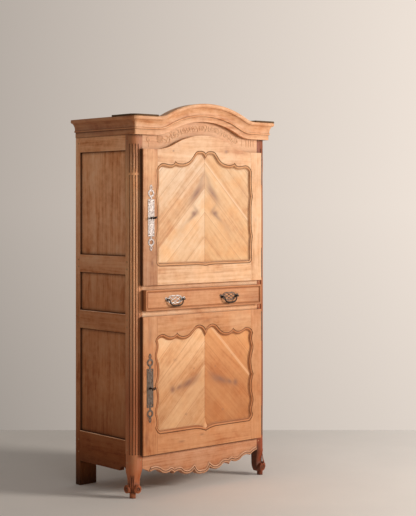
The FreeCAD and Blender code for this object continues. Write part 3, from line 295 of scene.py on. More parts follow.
class Wood(Finish):
    """Waxed fruitwood: growth bands, fibres, pores, stains, knots, and dark corners that are partly
    dirty and partly painted shade.

    fade holds shares of the colour up the height, darker low down partly as painted shade, marks knots
    and dark flames, leaves the slanting boards of a panel, joints dark upright lines, flanks the ends
    whose returns get painted shade, rim the box of a border, and gloom where painted shade on an inner
    side starts, is full and ends above.
    """

    def __init__(self, name, tone, along, seed=0.0, contrast=1.0, dirt=0.55, fade=(), marks=(),
                 leaves=None, rough=0.5, shine=0.3, joints=(), blush=0.5, flanks=(), rim=None,
                 gloom=None):
        super().__init__(name)
        tone, (x, y, z) = tuple(tone), self.place()
        if leaves:
            right, fold = x > LEAF_X, abs(x - LEAF_X)
            across, through, lengthways = (fold + z) * SLANT, y, (fold - z) * SLANT
        else:
            fold = x
            across, through, lengthways = [(x, y, z)[axis] for axis in GRAIN[along]]
        knots = [self.mark(fold, z, *mark[:5]) for mark in marks]
        across = across + self.noise(across * 4 + seed, through * 4, lengthways * 1.3, 1.0) * 0.045
        for mask in knots:
            across = across + mask * 0.006

        def grain(fine, long, detail, roughness=0.5):
            """Noise drawn out along the boards, from its waves per metre across and along them."""
            return self.noise(across * fine, through * fine, lengthways * long + seed, detail,
                              roughness)

        # the figure of the wood, as one value from dark to pale
        figure = self.noise(across * 7 + seed, through * 7, lengthways * 0.6, 1.0)
        bands, streaks = grain(24, 1.1, 3.0, 0.6), grain(95, 3.5, 3.0, 0.6)
        fibres, flecks = grain(420, 11, 2.0), grain(900, 30, 1.0)
        rings = ((figure * 110 + streaks * 3).sine() * 0.5 + 0.5) ** 2.0
        pores = ((flecks - 0.62) * 8).clamped()
        stain = self.noise(x * 4 + seed, y * 4, z * 4, 3.0, 0.6)
        mottle = self.noise(x * 34, y * 34, z * 34 + seed, 2.0, 0.6)
        value = 0.5 + ((bands - 0.5) * 0.75 + (streaks - 0.5) * 0.55 - (rings - 0.35) * 0.09
                       + (fibres - 0.5) * 0.35 + (stain - 0.5) * 0.9
                       + (mottle - 0.5) * 0.45) * contrast
        if leaves:
            slant = (fold + z - leaves["seam"]) / leaves["board"]
            board = slant.math("FLOOR", slant)  # each board has a tone of its own
            value = value + (self.noise(board * 5.3 + seed, right * 9, 0, 0.0) - 0.5) * 0.9
        # its colour, and what time has drawn on it
        base = self.ramp(value, *[(stop, shade(tone, factor)) for stop, factor in TONES])
        if leaves:
            base = self.mix(right, base, self.mix(1.0, base, leaves["right_leaf"], "MULTIPLY"))
        warmth = self.noise(x * 9 - seed, y * 9, z * 9, 3.0, 0.55)
        base = self.mix(((warmth - 0.44) * 4).clamped() * blush, base,
                        self.mix(1.0, base, WARM, "MULTIPLY"))
        # the colour up the height: darker low down, partly painted shade
        if fade:
            base = self.mix(1.0, base, self.ramp(z / CAD_BOX[1][2], *fade), "MULTIPLY")
        base = self.mix(pores * 0.4, base, shade(tone, 0.42))
        for (*_, strength), mask in zip(marks, knots):
            cloudy = (mask * strength * (0.1 + streaks * 1.1 + mottle * 0.7)).clamped()
            base = self.mix(cloudy, base, [part * share for part, share in zip(tone, MARK)])
        lines = [(abs(x - joint) / JOINT_LINE).bell() * 0.75 for joint in joints]
        if leaves:
            seam = abs(slant - slant.math("ROUND", slant)) * (leaves["board"] / SEAM_LINE)
            lines += [(abs(x - LEAF_X) / FOLD_LINE).bell() * leaves["middle"], seam.bell() * 0.5]
            gold = ((fold + z - leaves["gold"]) / GOLD_LINE).bell() * right * 0.8
            base = self.mix(gold.clamped(), base, shade(tone, 1.16))
        for line in lines:
            base = self.mix(line.clamped(), base, shade(tone, 0.34))
        base = self.shaded(base, tone, (x, y, z), flanks, rim, gloom)
        # corners, creases and the gaps under proud edges darken by ambient occlusion: partly dirty wax,
        # partly painted shade
        dirt_and_shade_mask = ((1 - self.crevice(CORNER_REACH)) * dirt * 1.5).clamped()
        base = self.mix(dirt_and_shade_mask, base, DIRT_AND_SHADE_TONE)
        roughness = rough + (fibres - 0.5) * 0.12 + (stain - 0.5) * 0.2 + dirt_and_shade_mask * 0.25
        height = bands * 0.4 + fibres * 0.2 - pores * 0.3 + streaks * 0.3
        self.surface(base, roughness.clamped(), height, 0.4 * MM, Specular_IOR_Level=shine)

    def shaded(self, base, tone, place, flanks, rim, gloom):
        """Paint shade on the returns of the ends and on an inner side, and darken a border."""
        x, y, z = place
        # painted shade on the returns of the ends, which face away from the light
        for low, high in flanks:
            side = abs(x - (low + high) / 2) > (high - low) / 2 - 1 * MM
            base = self.mix(side * ((y - DOOR_Y) / FLANK_DEPTH).clamped(), base, DIRT_AND_SHADE_TONE)
        if rim:
            (left, _, low), (right, _, high) = rim
            border = [abs(spot - (a + b) / 2) > (b - a) / 2 - RIM_WIDTH
                      for spot, a, b in ((x, left, right), (z, low, high))]
            base = self.mix((border[0] + border[1]).clamped() * 0.5, base, shade(tone, 0.62))
        # painted shade on a foot's inner side, which lies in the shadow of the apron
        if gloom:
            start, full, top = gloom
            dark = ((start - x) / (start - full)).clamped() * ((top - z) / GLOOM_BLEND).clamped()
            base = self.mix(dark * 0.9, base, DIRT_AND_SHADE_TONE)
        return base

    @staticmethod
    def mark(x, z, across, height, reach, width, turn):
        """A knot or a dark flame: an oval round a point, its long side turned by an angle."""
        level, upright = math.cos(math.radians(turn)), math.sin(math.radians(turn))
        along = ((x - across) * level + (z - height) * upright) / reach
        beside = ((z - height) * level - (x - across) * upright) / width
        return (along * along + beside * beside).fading()


def steel(name, tone, rust, roughness):
    """Old polished steel: scratches, pits and rust in the hollows."""
    finish = Finish(name)
    x, y, z = finish.place()
    cloud = finish.noise(x * 90, y * 90, z * 90, 4.0, 0.6)
    scratch = finish.noise(x * 900, y * 900, z * 140, 2.0)
    pits = ((finish.noise(x * 600, y * 600, z * 600, 2.0) - 0.62) * 8).clamped()
    worn = (((cloud - 0.52) * 5 + (1 - finish.crevice(6 * MM)) * 1.4) * rust).clamped()
    base = finish.mix(worn, finish.mix((scratch - 0.3).clamped(), tone, dim(tone, 0.72)),
                      (0.060, 0.034, 0.022))
    rough = (roughness + (scratch - 0.5) * 0.2 + worn * 0.35 + pits * 0.2).clamped()
    height = scratch * 0.3 - pits * 0.5 - worn * 0.4
    return finish.surface(base, rough, height, 0.15 * MM, Metallic=1.0)


# ---- modelling helpers
def deselect():
    if bpy.context.object and bpy.context.object.mode != "OBJECT":
        bpy.ops.object.mode_set(mode="OBJECT")
    bpy.ops.object.select_all(action="DESELECT")


def take(piece):
    """Make a piece the only one selected."""
    deselect()
    piece.select_set(True)
    bpy.context.view_layer.objects.active = piece
    return piece


class edit:
    """Edit mode on a piece for as long as the block lasts."""

    def __init__(self, piece):
        self.piece = take(piece)

    def __enter__(self):
        bpy.ops.object.mode_set(mode="EDIT")
        bpy.ops.mesh.select_mode(type="FACE")
        return bmesh.from_edit_mesh(self.piece.data)

    def __exit__(self, *_):
        bpy.ops.object.mode_set(mode="OBJECT")


def pick_before(shape, plane):
    """Select the faces whose middle lies in front of a plane, and no others."""
    for face in shape.faces:
        face.select_set(False)
    for face in shape.faces:
        if face.calc_center_median().y < plane:
            face.select_set(True)
    shape.select_flush_mode()


def new_piece(name, data):
    """A new object for a mesh, a curve, a lamp or a camera."""
    piece = bpy.data.objects.new(name, data)
    bpy.context.scene.collection.objects.link(piece)
    return piece


def settle(piece):
    """Put a piece's place, turn and scale into its mesh."""
    take(piece)
    bpy.ops.object.transform_apply(location=True, rotation=True, scale=True)
    return piece


def span(node):
    """The middle of a node's box and its half-size."""
    low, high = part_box(node)
    return (low + high) / 2, (high - low) / 2


def paint(piece, material):
    """Give a piece one material and no other."""
    piece.data.materials.clear()
    piece.data.materials.append(material)


def finish_piece(piece, body, material, angle=35):
    """Give a piece its body, its finish and its smooth faces."""
    paint(piece, material)
    take(piece)
    bpy.ops.object.shade_smooth_by_angle(angle=math.radians(angle))
    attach(piece, body)
    return piece


def dress(piece, body, wood, tone, along, angle=40, **looks):
    """Finish a piece of trim with a wood of its own."""
    return finish_piece(piece, body, Wood(wood, tone, along, **looks).block, angle)


def tidied(piece):
    """Merge what coincides, drop what has no area, and turn every face outwards."""
    with edit(piece):
        bpy.ops.mesh.select_all(action="SELECT")
        bpy.ops.mesh.remove_doubles(threshold=0.02 * MM)
        bpy.ops.mesh.dissolve_degenerate(threshold=0.005 * MM)
        bpy.ops.mesh.normals_make_consistent(inside=False)
    return piece


def beads(name, lines, squash=None):
    """Tapering round beads along smooth lines, each line a list of points and their half-widths.

    squash is an axis, the height of its plane and a factor that flattens the beads on it.
    """
    curve = bpy.data.curves.new(name, "CURVE")
    curve.dimensions, curve.resolution_u = "3D", 3
    curve.bevel_depth, curve.bevel_resolution, curve.use_fill_caps = 1.0, 1, True
    for points, widths in lines:
        line = curve.splines.new("NURBS")
        line.points.add(len(points) - 1)
        line.order_u, line.use_endpoint_u = 3, True
        for knot, point, width in zip(line.points, points, widths):
            knot.co, knot.radius = (*point, 1), width
    piece = take(new_piece(name, curve))
    bpy.ops.object.convert(target="MESH")
    tidied(piece)
    if squash:
        axis, plane, factor = squash
        value, centre = [1, 1, 1], [0, 0, 0]
        value[axis], centre[axis] = factor, plane
        with edit(piece):
            bpy.ops.mesh.select_all(action="SELECT")
            bpy.ops.transform.resize(value=value, center_override=centre)
    return piece


SHARP_ANGLE, FLAT_ANGLE = math.radians(32), math.radians(0.6)  # edges to wear, edges to drop


def worn_copy(node, width):
    """A copy of a solid with its edges worn round, which stands for the solid."""
    piece = new_piece(f"{node}_worn", NODES[node].data.copy())
    with edit(piece):
        bpy.ops.mesh.select_all(action="SELECT")
        bpy.ops.mesh.remove_doubles(threshold=0.005 * MM)
        bpy.ops.mesh.dissolve_limited(angle_limit=FLAT_ANGLE)
    if width:
        bevel = piece.modifiers.new("Worn edges", "BEVEL")
        bevel.width, bevel.segments = width, 2
        bevel.limit_method, bevel.angle_limit = "ANGLE", SHARP_ANGLE
    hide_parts(node)
    return piece


# ---- woodwork
# Knots and dark flames: x, z, half-length, half-width, turn in degrees, strength
UPPER_MARKS = ((0.074, 1.456, 0.018, 0.014, 0, 0.95), (0.058, 1.560, 0.062, 0.019, -50, 0.85),
               (0.090, 1.436, 0.040, 0.010, -38, 0.60), (0.060, 1.475, 0.030, 0.010, 50, 0.45),
               (0.160, 1.380, 0.05, 0.02, -45, 0.2), (0.020, 1.640, 0.05, 0.010, -60, 0.35))
LOWER_MARKS = ((0.222, 0.538, 0.016, 0.017, 0, 0.95), (0.112, 0.562, 0.060, 0.019, -18, 0.95),
               (0.178, 0.546, 0.020, 0.010, -30, 0.8), (0.062, 0.590, 0.040, 0.012, -34, 0.5),
               (0.205, 0.690, 0.014, 0.008, 0, 0.3), (0.075, 0.636, 0.004, 0.004, 0, 0.7),
               (0.130, 0.400, 0.008, 0.006, 0, 0.5))
STILE_MARKS = ((-0.385, 0.41, 0.016, 0.010, 80, 0.8), (-0.372, 0.82, 0.05, 0.012, 86, 0.4),
               (-0.395, 0.30, 0.04, 0.010, 88, 0.5))
FRAME_MARKS = ((-0.357, 1.200, 0.006, 0.011, 0, 0.8), (0.155, 1.775, 0.010, 0.008, 0, 0.7),
               (-0.235, 1.775, 0.005, 0.004, 0, 0.7), (0.371, 1.420, 0.010, 0.014, 0, 0.25),
               (-0.370, 0.320, 0.010, 0.007, 0, 0.5))
LEVEL_MARKS = ((0.155, 1.787, 0.011, 0.009, 0, 0.75), (-0.215, 1.782, 0.006, 0.005, 0, 0.75),
               (0.02, 0.885, 0.03, 0.008, 10, 0.3), (-0.02, 0.283, 0.016, 0.006, 0, 0.5),
               (-0.16, 0.262, 0.020, 0.006, 0, 0.5), (0.09, 1.14, 0.03, 0.005, 0, 0.25))
DRAWER_MARKS = ((0.372, 0.972, 0.075, 0.075, 0, 0.34), (0.200, 1.004, 0.090, 0.006, 2, 0.25),
                (-0.310, 0.955, 0.060, 0.012, 0, 0.30))
# Shares of the colour at shares of the whole height: darker low down, partly the wood's colour and
# partly painted shade of the light falling off towards the floor
# the sides fade almost to black at the floor: painted shade beneath and beside the cupboard
SIDE_FADE = ((0.0, (0.03, 0.018, 0.012)), (0.10, (0.27, 0.145, 0.065)), (0.28, (0.57, 0.44, 0.33)),
             (0.48, (0.60, 0.46, 0.35)), (0.60, (0.80, 0.69, 0.60)), (0.72, (0.97, 0.90, 0.84)),
             (0.88, (1.0, 0.92, 0.82)))
STILE_FADE = ((0.55, (0.72, 0.67, 0.68)), (0.74, (0.98, 0.98, 0.98)), (0.84, (1.16, 1.2, 1.22)))
POST_FADE = ((0.0, (0.46, 0.26, 0.19)), (0.25, (0.44, 0.26, 0.17)), (0.55, (0.76, 0.66, 0.58)),
             (0.80, (0.82, 0.76, 0.70)), (0.89, (0.46, 0.34, 0.28)))
LOWER_FADE = ((0.10, (0.88, 0.82, 0.76)), (0.30, (0.95, 0.92, 0.88)), (0.46, (1.0, 1.07, 1.16)))
UPPER_LEAF_FADE = ((0.60, (0.98, 0.97, 0.92)), (0.72, (0.99, 1.02, 1.03)),
                   (0.84, (0.98, 1.08, 1.20)))
LEAF_FADE = ((0.14, (0.74, 0.68, 0.62)), (0.27, (0.80, 0.75, 0.70)), (0.36, (0.98, 0.98, 0.98)),
             (0.44, (1.02, 1.08, 1.12)))
# Slanting boards: height of a seam at the fold, their width, height of the pale vein, strength of
# the fold's line and colour of the right leaf as shares
UPPER_LEAVES = {"seam": 1.462, "board": 0.13, "gold": 1.73, "middle": 0.6,
                "right_leaf": (0.92, 0.84, 0.71)}
LOWER_LEAVES = {"seam": 0.655, "board": 0.12, "gold": 0.895, "middle": 0.5,
                "right_leaf": (0.80, 0.60, 0.42)}
GLOOM_WIDTH, GLOOM_TOP = 34 * MM, 190 * MM  # of the painted shade inside the right foot


def both(*names):
    """Nodes that stand on the left and on the right."""
    return [f"{side}_{name}" for name in names for _, side in SIDES]


def wood_recipes():
    """The wood finishes: name, colour, grain, seed, looks and the nodes that have it."""
    w = woods()
    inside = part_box("right_front_post")[0].x
    shoulders = (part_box("upper_lock_stile")[1].x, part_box("upper_hinge_stile")[0].x)
    door = [(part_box("lower_lock_stile")[0].x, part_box("lower_hinge_stile")[1].x)]
    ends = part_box("drawer_front")
    upper, lower = dict(contrast=1.4), dict(fade=LOWER_FADE, contrast=1.6)
    lock = dict(dirt=0.8, flanks=door)
    # the corner darkening is strong on the posts, the sides and the apron, where it paints the shade in
    # the grooves, under the rails and under the lower door
    posts = dict(fade=POST_FADE, dirt=1.1, contrast=1.6)
    sides = dict(fade=SIDE_FADE, shine=0.12, rough=0.6, contrast=1.9, dirt=1.5, blush=0.35)
    bare = dict(rough=0.8, shine=0.15)
    return (
        ("posts_tall", w.posts, "Z", 11.2, posts, ["left_front_post"]),
        # the right post takes a much darker copy of the posts' wood: painted shade in the gap beside
        # the doors
        ("right_post_tall", shade(w.posts, 0.40), "Z", 10.4,
         dict(posts, gloom=(inside + GLOOM_WIDTH, inside, GLOOM_TOP)), ["right_front_post"]),
        ("sides_tall", w.sides, "Z", 14.1, sides,
         both("rear_post", "upper_panel", "middle_panel", "lower_panel")),
        ("sides_deep", w.sides, "Y", 15.8, sides, both("top_rail", "middle_rails", "bottom_rail")),
        # the drawer rails take a lighter copy of the upper door's wood: painted light against the shade
        # the upper door casts on them
        ("rail_level", dim(w.upper_door, 1.2), "X", 13.3, dict(contrast=1.4),
         ["drawer_bottom_rail", "drawer_top_rail"]),
        ("apron_level", shade(w.apron, 1.08), "X", 12.5, dict(contrast=1.7, dirt=1.6), ["front_apron"]),
        ("frieze_level", w.frieze, "X", 6.3, dict(contrast=1.1, dirt=0.25), ["frieze_rail"]),
        ("cornice_level", w.cornice, "X", 7.5, dict(dirt=0.9, contrast=1.6), ["cornice_front"]),
        # a darker copy of the cornice's wood for its side returns: painted shade on the left side,
        # which faces away from the light
        ("cornice_deep", shade(w.cornice, 0.60), "Y", 7.9, dict(dirt=1.6, shine=0.4, contrast=1.7),
         both("cornice")),
        ("upper_lock_tall", shade(w.upper_door, 0.65), "Z", 3.1,
         dict(lock, marks=FRAME_MARKS, contrast=2.4, fade=STILE_FADE), ["upper_lock_stile"]),
        ("upper_frame_tall", w.upper_door, "Z", 3.1, dict(upper, marks=FRAME_MARKS),
         ["upper_hinge_stile"]),
        ("upper_frame_level", w.upper_door, "X", 5.7, dict(upper, marks=LEVEL_MARKS, joints=shoulders),
         ["upper_door_top_rail", "upper_door_bottom_rail"]),
        ("upper_leaves", w.upper_panel, "Z", 1.3,
         dict(blush=0.8, leaves=UPPER_LEAVES, contrast=1.1, marks=UPPER_MARKS, fade=UPPER_LEAF_FADE),
         ["upper_door_panel"]),
        ("lower_lock_tall", shade(w.lower_door, 0.88), "Z", 8.2,
         dict(lock, fade=LOWER_FADE, contrast=2.0, marks=STILE_MARKS), ["lower_lock_stile"]),
        ("lower_frame_tall", w.lower_door, "Z", 8.2, lower, ["lower_hinge_stile"]),
        ("lower_frame_level", w.lower_door, "X", 9.9, dict(lower, marks=LEVEL_MARKS, joints=shoulders),
         ["lower_door_top_rail", "lower_door_bottom_rail"]),
        ("lower_leaves", w.lower_panel, "Z", 2.6,
         dict(leaves=LOWER_LEAVES, contrast=1.1, marks=LOWER_MARKS, fade=LEAF_FADE),
         ["lower_door_panel"]),
        ("drawer_level", shade(w.drawer, 0.96), "X", 4.4,
         dict(contrast=1.6, marks=DRAWER_MARKS, flanks=[(ends[0].x, ends[1].x)], rim=ends),
         ["drawer_front"]),
        ("bare_tall", w.inside, "Z", 16.4, bare, ["back_boards"]),
        ("aged_level", dim(w.inside, 0.30), "X", 19.3, bare, ["top_boards"]),
        ("bare_level", w.inside, "X", 17.6, bare,
         ["back_rails", "inner_floors", "shelves", "drawer_back"]),
        ("bare_deep", w.inside, "Y", 18.9, bare,
         ["shelf_battens", "drawer_guides", "drawer_sides", "drawer_base", "frame_pegs"]),
    )


# Nodes that keep their solids as they are
SHARP_NODES = ("upper_door_panel", "lower_door_panel", "frame_pegs", "drawer_guides",
               "shelf_battens")


class BONNETIERE_OT_woodwork(bpy.types.Operator):
    """Wear the edges of the boards round, all but the door panels and a few small parts, and give each
    its grain
    """
    bl_idname = "bonnetiere.woodwork"
    bl_label = "Woodwork"

    def execute(self, context):
        for name, tone, along, seed, looks, nodes in wood_recipes():
            made = Wood(name, tone, along, seed, **looks).block
            for node in nodes:
                if node in SHARP_NODES:
                    paint(NODES[node], made)
                    continue
                piece = worn_copy(node, sizes().worn_edge)
                if node == "drawer_front":
                    mould_drawer(piece)
                finish_piece(piece, BODY_OF[node], made)
        return {"FINISHED"}


# Section of the drawer's border: reaches inwards and rises, in mm
DRAWER_BORDER = ((0, -0.6), (2, 0), (6, 0), (8, -1.2), (10, -4.2), (11.5, -6.8), (14, -7.0),
                 (15, -5.2), (18, -5.0), (20, -5.0))


def mould_drawer(piece):
    """Sink the field of the drawer front inside a moulded border."""
    low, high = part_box("drawer_front")
    for reach, _ in DRAWER_BORDER[1:]:
        for cut in ((1, 0, 0), (0, 0, 1)):
            for corner, inwards in ((low, reach * MM), (high, -reach * MM)):
                with edit(piece) as shape:
                    pick_before(shape, low.y + 1 * MM)
                    bpy.ops.mesh.bisect(plane_co=[part + inwards for part in corner], plane_no=cut)
    reaches, rises = zip(*DRAWER_BORDER)
    for corner in piece.data.vertices:
        spot = corner.co
        if abs(spot.y - low.y) < 0.1 * MM:
            inwards = min(spot.x - low.x, high.x - spot.x, spot.z - low.z, high.z - spot.z)
            spot.y -= np.interp(inwards / MM, reaches, rises) * MM


# ---- mouldings
def wall_edges(node, keep):
    """Where the walls of a node that pass a test meet its front plane, as pairs of (x, z)."""
    mesh, front = NODES[node].data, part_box(node)[0].y
    for face in mesh.polygons:
        if abs(face.normal.y) < 0.2 and keep(face.center, face.normal):
            ends = [mesh.vertices[index].co for index in face.vertices]
            ends = [(point.x, point.z) for point in ends if abs(point.y - front) < 0.01 * MM]
            if len(ends) == 2 and math.dist(*ends) > 0.01 * MM:
                yield ends


def chained(pairs, start):
    """The pairs of points put end to end as one line, from the end that is nearest to start."""
    left = list(pairs)
    line = [start]
    while left:
        gap, best, turn = min((math.dist(pair[turn], line[-1]), number, turn)
                              for number, pair in enumerate(left) for turn in (0, 1))
        if len(line) > 1 and gap > 0.5 * MM:
            break
        line.append(left.pop(best)[1 - turn])
    return line[1:]


def thinned(points, least):
    """The points of a line without those that lie closer than least to the one before."""
    kept = []
    for point in points:
        if not kept or math.dist(point, kept[-1]) > least:
            kept.append(point)
    return kept


def opening_outline(door):
    """The edge of a door's scalloped opening, anticlockwise seen from the front."""
    middle, half = span(f"{door}_door_panel")
    shoulders = (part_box(f"{door}_lock_stile")[1].x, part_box(f"{door}_hinge_stile")[0].x)

    def keep(centre, normal):
        joint = min(abs(centre.x - x) for x in shoulders) < 0.05 * MM
        return abs(centre.x - middle.x) < half.x and not joint

    pairs = [pair for end in ("lock_stile", "hinge_stile", "door_top_rail", "door_bottom_rail")
             for pair in wall_edges(f"{door}_{end}", keep)]
    line = thinned(chained(pairs, (middle.x, middle.z - half.z)), 1.2 * MM)
    if math.dist(line[0], line[-1]) < 1.2 * MM:
        line.pop()
    turning = sum(ax * bz - bx * az for (ax, az), (bx, bz) in zip(line, line[1:] + line[:1]))
    return line if turning > 0 else line[::-1]


def beside(points, reach, closed):
    """A line moved to its left by a distance; where it turns too tightly its points gather."""
    spots = np.array(points)
    before, after = np.roll(spots, 1, 0), np.roll(spots, -1, 0)
    if not closed:
        before[0], after[-1] = 2 * spots[0] - spots[1], 2 * spots[-1] - spots[-2]

    def leftwards(step):
        step = step / np.linalg.norm(step, axis=1)[:, None]
        return np.stack((-step[:, 1], step[:, 0]), 1)

    first, second = leftwards(spots - before), leftwards(after - spots)
    middle = first + second
    middle /= np.linalg.norm(middle, axis=1)[:, None]
    mitre = np.clip((middle * second).sum(1), 0.5, 1)
    moved = spots + middle * (reach / mitre)[:, None]
    starts, spans = (spots, after - spots) if closed else (spots[:-1], spots[1:] - spots[:-1])
    offsets = moved[:, None] - starts
    shares = np.clip((offsets * spans).sum(2) / (spans ** 2).sum(1), 0, 1)
    gaps = np.linalg.norm(offsets - shares[:, :, None] * spans, axis=2).min(1)
    good = np.flatnonzero(gaps > reach * 0.985 - 0.01 * MM)
    count = len(spots)
    for number, here in enumerate(good):
        there = good[(number + 1) % len(good)]
        skipped = [(here + step) % count for step in range(1, (there - here) % count)]
        if skipped and (closed or there > here):
            moved[skipped] = (moved[here] + moved[there]) / 2
    return moved


def moulding(name, outline, back, profile, closed=True):
    """A moulding along a line on a front plane: its section is a list of reaches and rises."""
    rings = [[(x, back - rise * MM, z) for x, z in beside(outline, reach * MM, closed)]
             for reach, rise in profile]
    count, last = len(outline), len(outline) - (not closed)
    faces = [(ring * count + spot, ring * count + (spot + 1) % count,
              (ring + 1) % len(rings) * count + (spot + 1) % count,
              (ring + 1) % len(rings) * count + spot)
             for ring in range(len(rings)) for spot in range(last)]
    if not closed:
        faces += [[ring * count + end for ring in range(len(rings))] for end in (0, count - 1)]
    mesh = bpy.data.meshes.new(name)
    mesh.from_pydata([point for ring in rings for point in ring], [], faces)
    return tidied(new_piece(name, mesh))


# Sections of the mouldings: reaches from the outline and rises from the face, in mm
DOOR_MOULDING = ((0, 0), (0, 3.6), (1.5, 3.4), (2.2, 6.2), (3.8, 8.1), (6.4, 8.8), (9.2, 8.2),
                 (11.8, 6.2), (13.4, 3.4), (14.0, 1.4), (15.4, 1.4), (16.0, 2.8), (18.6, 2.3),
                 (19.8, 0.8), (19.8, 0))


TONGUE = ((308, 30), (322, 17), (342, 7), (366, 1.0))  # heights and half-widths, in mm


class BONNETIERE_OT_door_mouldings(bpy.types.Operator):
    """Run a quirked bead round the scalloped opening of each door, and raise the lower one's tip"""
    bl_idname = "bonnetiere.door_mouldings"
    bl_label = "Door mouldings"

    def execute(self, context):
        stretch = sizes().moulding / (DOOR_MOULDING[-1][0] * MM)
        profile = [(reach * stretch, rise) for reach, rise in DOOR_MOULDING]
        for door in DOORS:
            piece = moulding(f"{door}_door_moulding", opening_outline(door), PANEL_Y, profile)
            dress(piece, f"{door}_door", f"{door}_moulding_wood",
                  shade(getattr(woods(), f"{door}_door"), 0.76), "X", seed=21.0, dirt=0.8)
        tongue = beads("lower_panel_tongue",
                       [([(LEAF_X, PANEL_Y, height * MM) for height, _ in TONGUE],
                         [width * MM for _, width in TONGUE])], (1, PANEL_Y, 0.22))
        dress(tongue, "lower_door", "tongue_wood", shade(woods().lower_panel, 0.80), "Z", 50,
              seed=23.0)
        return {"FINISHED"}


# Section of the apron's double bead, in the same way
APRON_BEADS = ((3.0, 0), (3.4, 2.6), (5.4, 4.4), (8.0, 4.4), (10.0, 2.4), (11.0, 0.6), (12.8, 0.6),
               (13.6, 2.4), (16.0, 3.8), (18.6, 3.2), (20.4, 1.4), (21.5, 0))


class BONNETIERE_OT_apron_beads(bpy.types.Operator):
    """Run a double bead along the scalloped edge of the apron"""
    bl_idname = "bonnetiere.apron_beads"
    bl_label = "Apron beads"

    def execute(self, context):
        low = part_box("front_apron")[0]
        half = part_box("right_front_post")[0].x
        pairs = [pair for pair in wall_edges("front_apron", lambda centre, normal: normal.z < -0.05)
                 if abs(pair[0][0] + pair[1][0]) < 2 * half]
        line = thinned(chained(pairs, (-half, low.z)), 1.0 * MM)
        piece = moulding("apron_beads", line, low.y, APRON_BEADS, closed=False)
        # the beads take a lighter copy of the apron's wood: painted highlight along their crowns
        dress(piece, "carcass", "apron_bead_wood", shade(woods().apron, 1.45), "X", seed=22.0,
              dirt=1.2)
        return {"FINISHED"}


# ---- carving
def on_front(spots, plane=FACE_Y):
    """Points of a front plane, the posts' if none is given, from their x and z."""
    return [(x, plane, z) for x, z in spots]


def leaf(x, z, turn, reach, curl, width):
    """A carved leaf: a bead that bends and tapers from its root at (x, z)."""
    spots = []
    for share in (0, 0.3, 0.6, 0.85, 1):
        angle = math.radians(turn) + curl * 2.4 * share ** 2
        spots.append((x + reach * share * math.cos(angle), z + reach * share * math.sin(angle)))
    return on_front(spots), [part * width * MM for part in (0.55, 1, 0.85, 0.5, 0.18)]


SPIRAL_POINTS = 22
CURL_POINTS = 14


def spiral(turns, outer, inner, start, count=SPIRAL_POINTS):
    """Offsets along a spiral that winds inwards; negative turns wind clockwise."""
    for step in range(count):
        share = step / (count - 1)
        radius = outer + (inner - outer) * share ** 0.85
        angle = math.radians(start) + math.tau * turns * share
        yield radius * math.cos(angle), radius * math.sin(angle)


def scroll(x, z, radius, turns, start, width):
    """A carved curl that swells towards its middle."""
    spots = [(x + a, z + b)
             for a, b in spiral(turns, radius, radius * 0.2, start, CURL_POINTS)]
    shares = [(step + 1) / (CURL_POINTS + 1) for step in range(CURL_POINTS)]
    return on_front(spots), [width * MM * (0.5 + 0.5 * math.sin(math.pi * share))
                             for share in shares]


def upright(x, z, half, width):
    """A short standing bead."""
    spots = on_front([(x, z - half), (x, z), (x, z + half)])
    return spots, [width * MM * 0.6, width * MM, width * MM * 0.6]


# Leaves of a spray: place along the stem, turn from it, length as a share of the stem's
SPRAY_LEAVES = ((0.0, 95, 0.40), (0.1, -80, 0.36), (0.3, 70, 0.34), (0.42, -66, 0.38),
                (0.7, 62, 0.30), (0.62, -40, 0.26))


def spray(x, z, turn, reach, side):
    """A stem with leaves on both sides and a curl at its end."""
    stem = math.radians(turn)

    def spot(share):
        return x + reach * share * math.cos(stem), z + reach * share * math.sin(stem)

    lines = [leaf(x, z, turn, reach, 0.15 * side, 2.6)]
    for share, spread, length in SPRAY_LEAVES:
        lines.append(leaf(*spot(share), turn + spread * side, reach * length, spread / 160 * side, 3.4))
    lines.append(scroll(*spot(1), reach * 0.19, 1.2 * side, turn - 90 * side, 2.8))
    return lines


# Of the frieze. Curls: x, z, radius, turns, start, half-width. Standing beads: x, z, half-height,
# half-width. Sprays: x, z, turn, length, side
FRIEZE_CURLS = ((-0.362, 1.836, 0.017, 0.98, 90, 2.6), (-0.286, 1.842, 0.029, 0.97, 90, 2.2),
                (0.250, 1.848, 0.020, 0.98, 90, 2.8))
FRIEZE_UPRIGHTS = ((-0.362, 1.812, 0.014, 1.6), (-0.064, 1.902, 0.018, 1.6),
                   (0.074, 1.904, 0.019, 1.6), (0.250, 1.848, 0.011, 3.0),
                   (0.289, 1.843, 0.022, 1.6), (0.322, 1.840, 0.021, 2.8),
                   (0.340, 1.840, 0.021, 2.8), (0.358, 1.840, 0.021, 2.8),
                   (0.376, 1.840, 0.021, 2.8))
FRIEZE_SPRAYS = ((-0.252, 1.838, 26, 0.068, 1), (-0.184, 1.869, 24, 0.062, -1),
                 (-0.118, 1.892, 14, 0.050, 1), (-0.054, 1.903, 5, 0.056, 1),
                 (0.010, 1.908, 0, 0.056, -1), (0.120, 1.896, -20, 0.060, 1),
                 (0.180, 1.872, -26, 0.056, -1))


FLUTES, FLUTE_PITCH = 5, 0.008
FLUTES_START = (-0.302, 1.842)  # x and z of the medallion's first flute
PETALS = 8
FRIEZE_ROSETTE = (0.096, 1.902)


def frieze_lines():
    """The beads of the carving on the arched frieze."""
    lines = [scroll(*row) for row in FRIEZE_CURLS] + [upright(*row) for row in FRIEZE_UPRIGHTS]
    x, z = FLUTES_START
    for step in range(FLUTES):  # the fluted medallion
        shorter = 0.003 * abs(step - FLUTES // 2)
        lines.append(upright(x + step * FLUTE_PITCH, z, 0.022 - shorter, 2.4))
    for step in range(PETALS):
        lines.append(leaf(*FRIEZE_ROSETTE, step * 360 / PETALS, 0.017, 0.1, 3.2))
    for row in FRIEZE_SPRAYS:
        lines += spray(*row)
    return lines


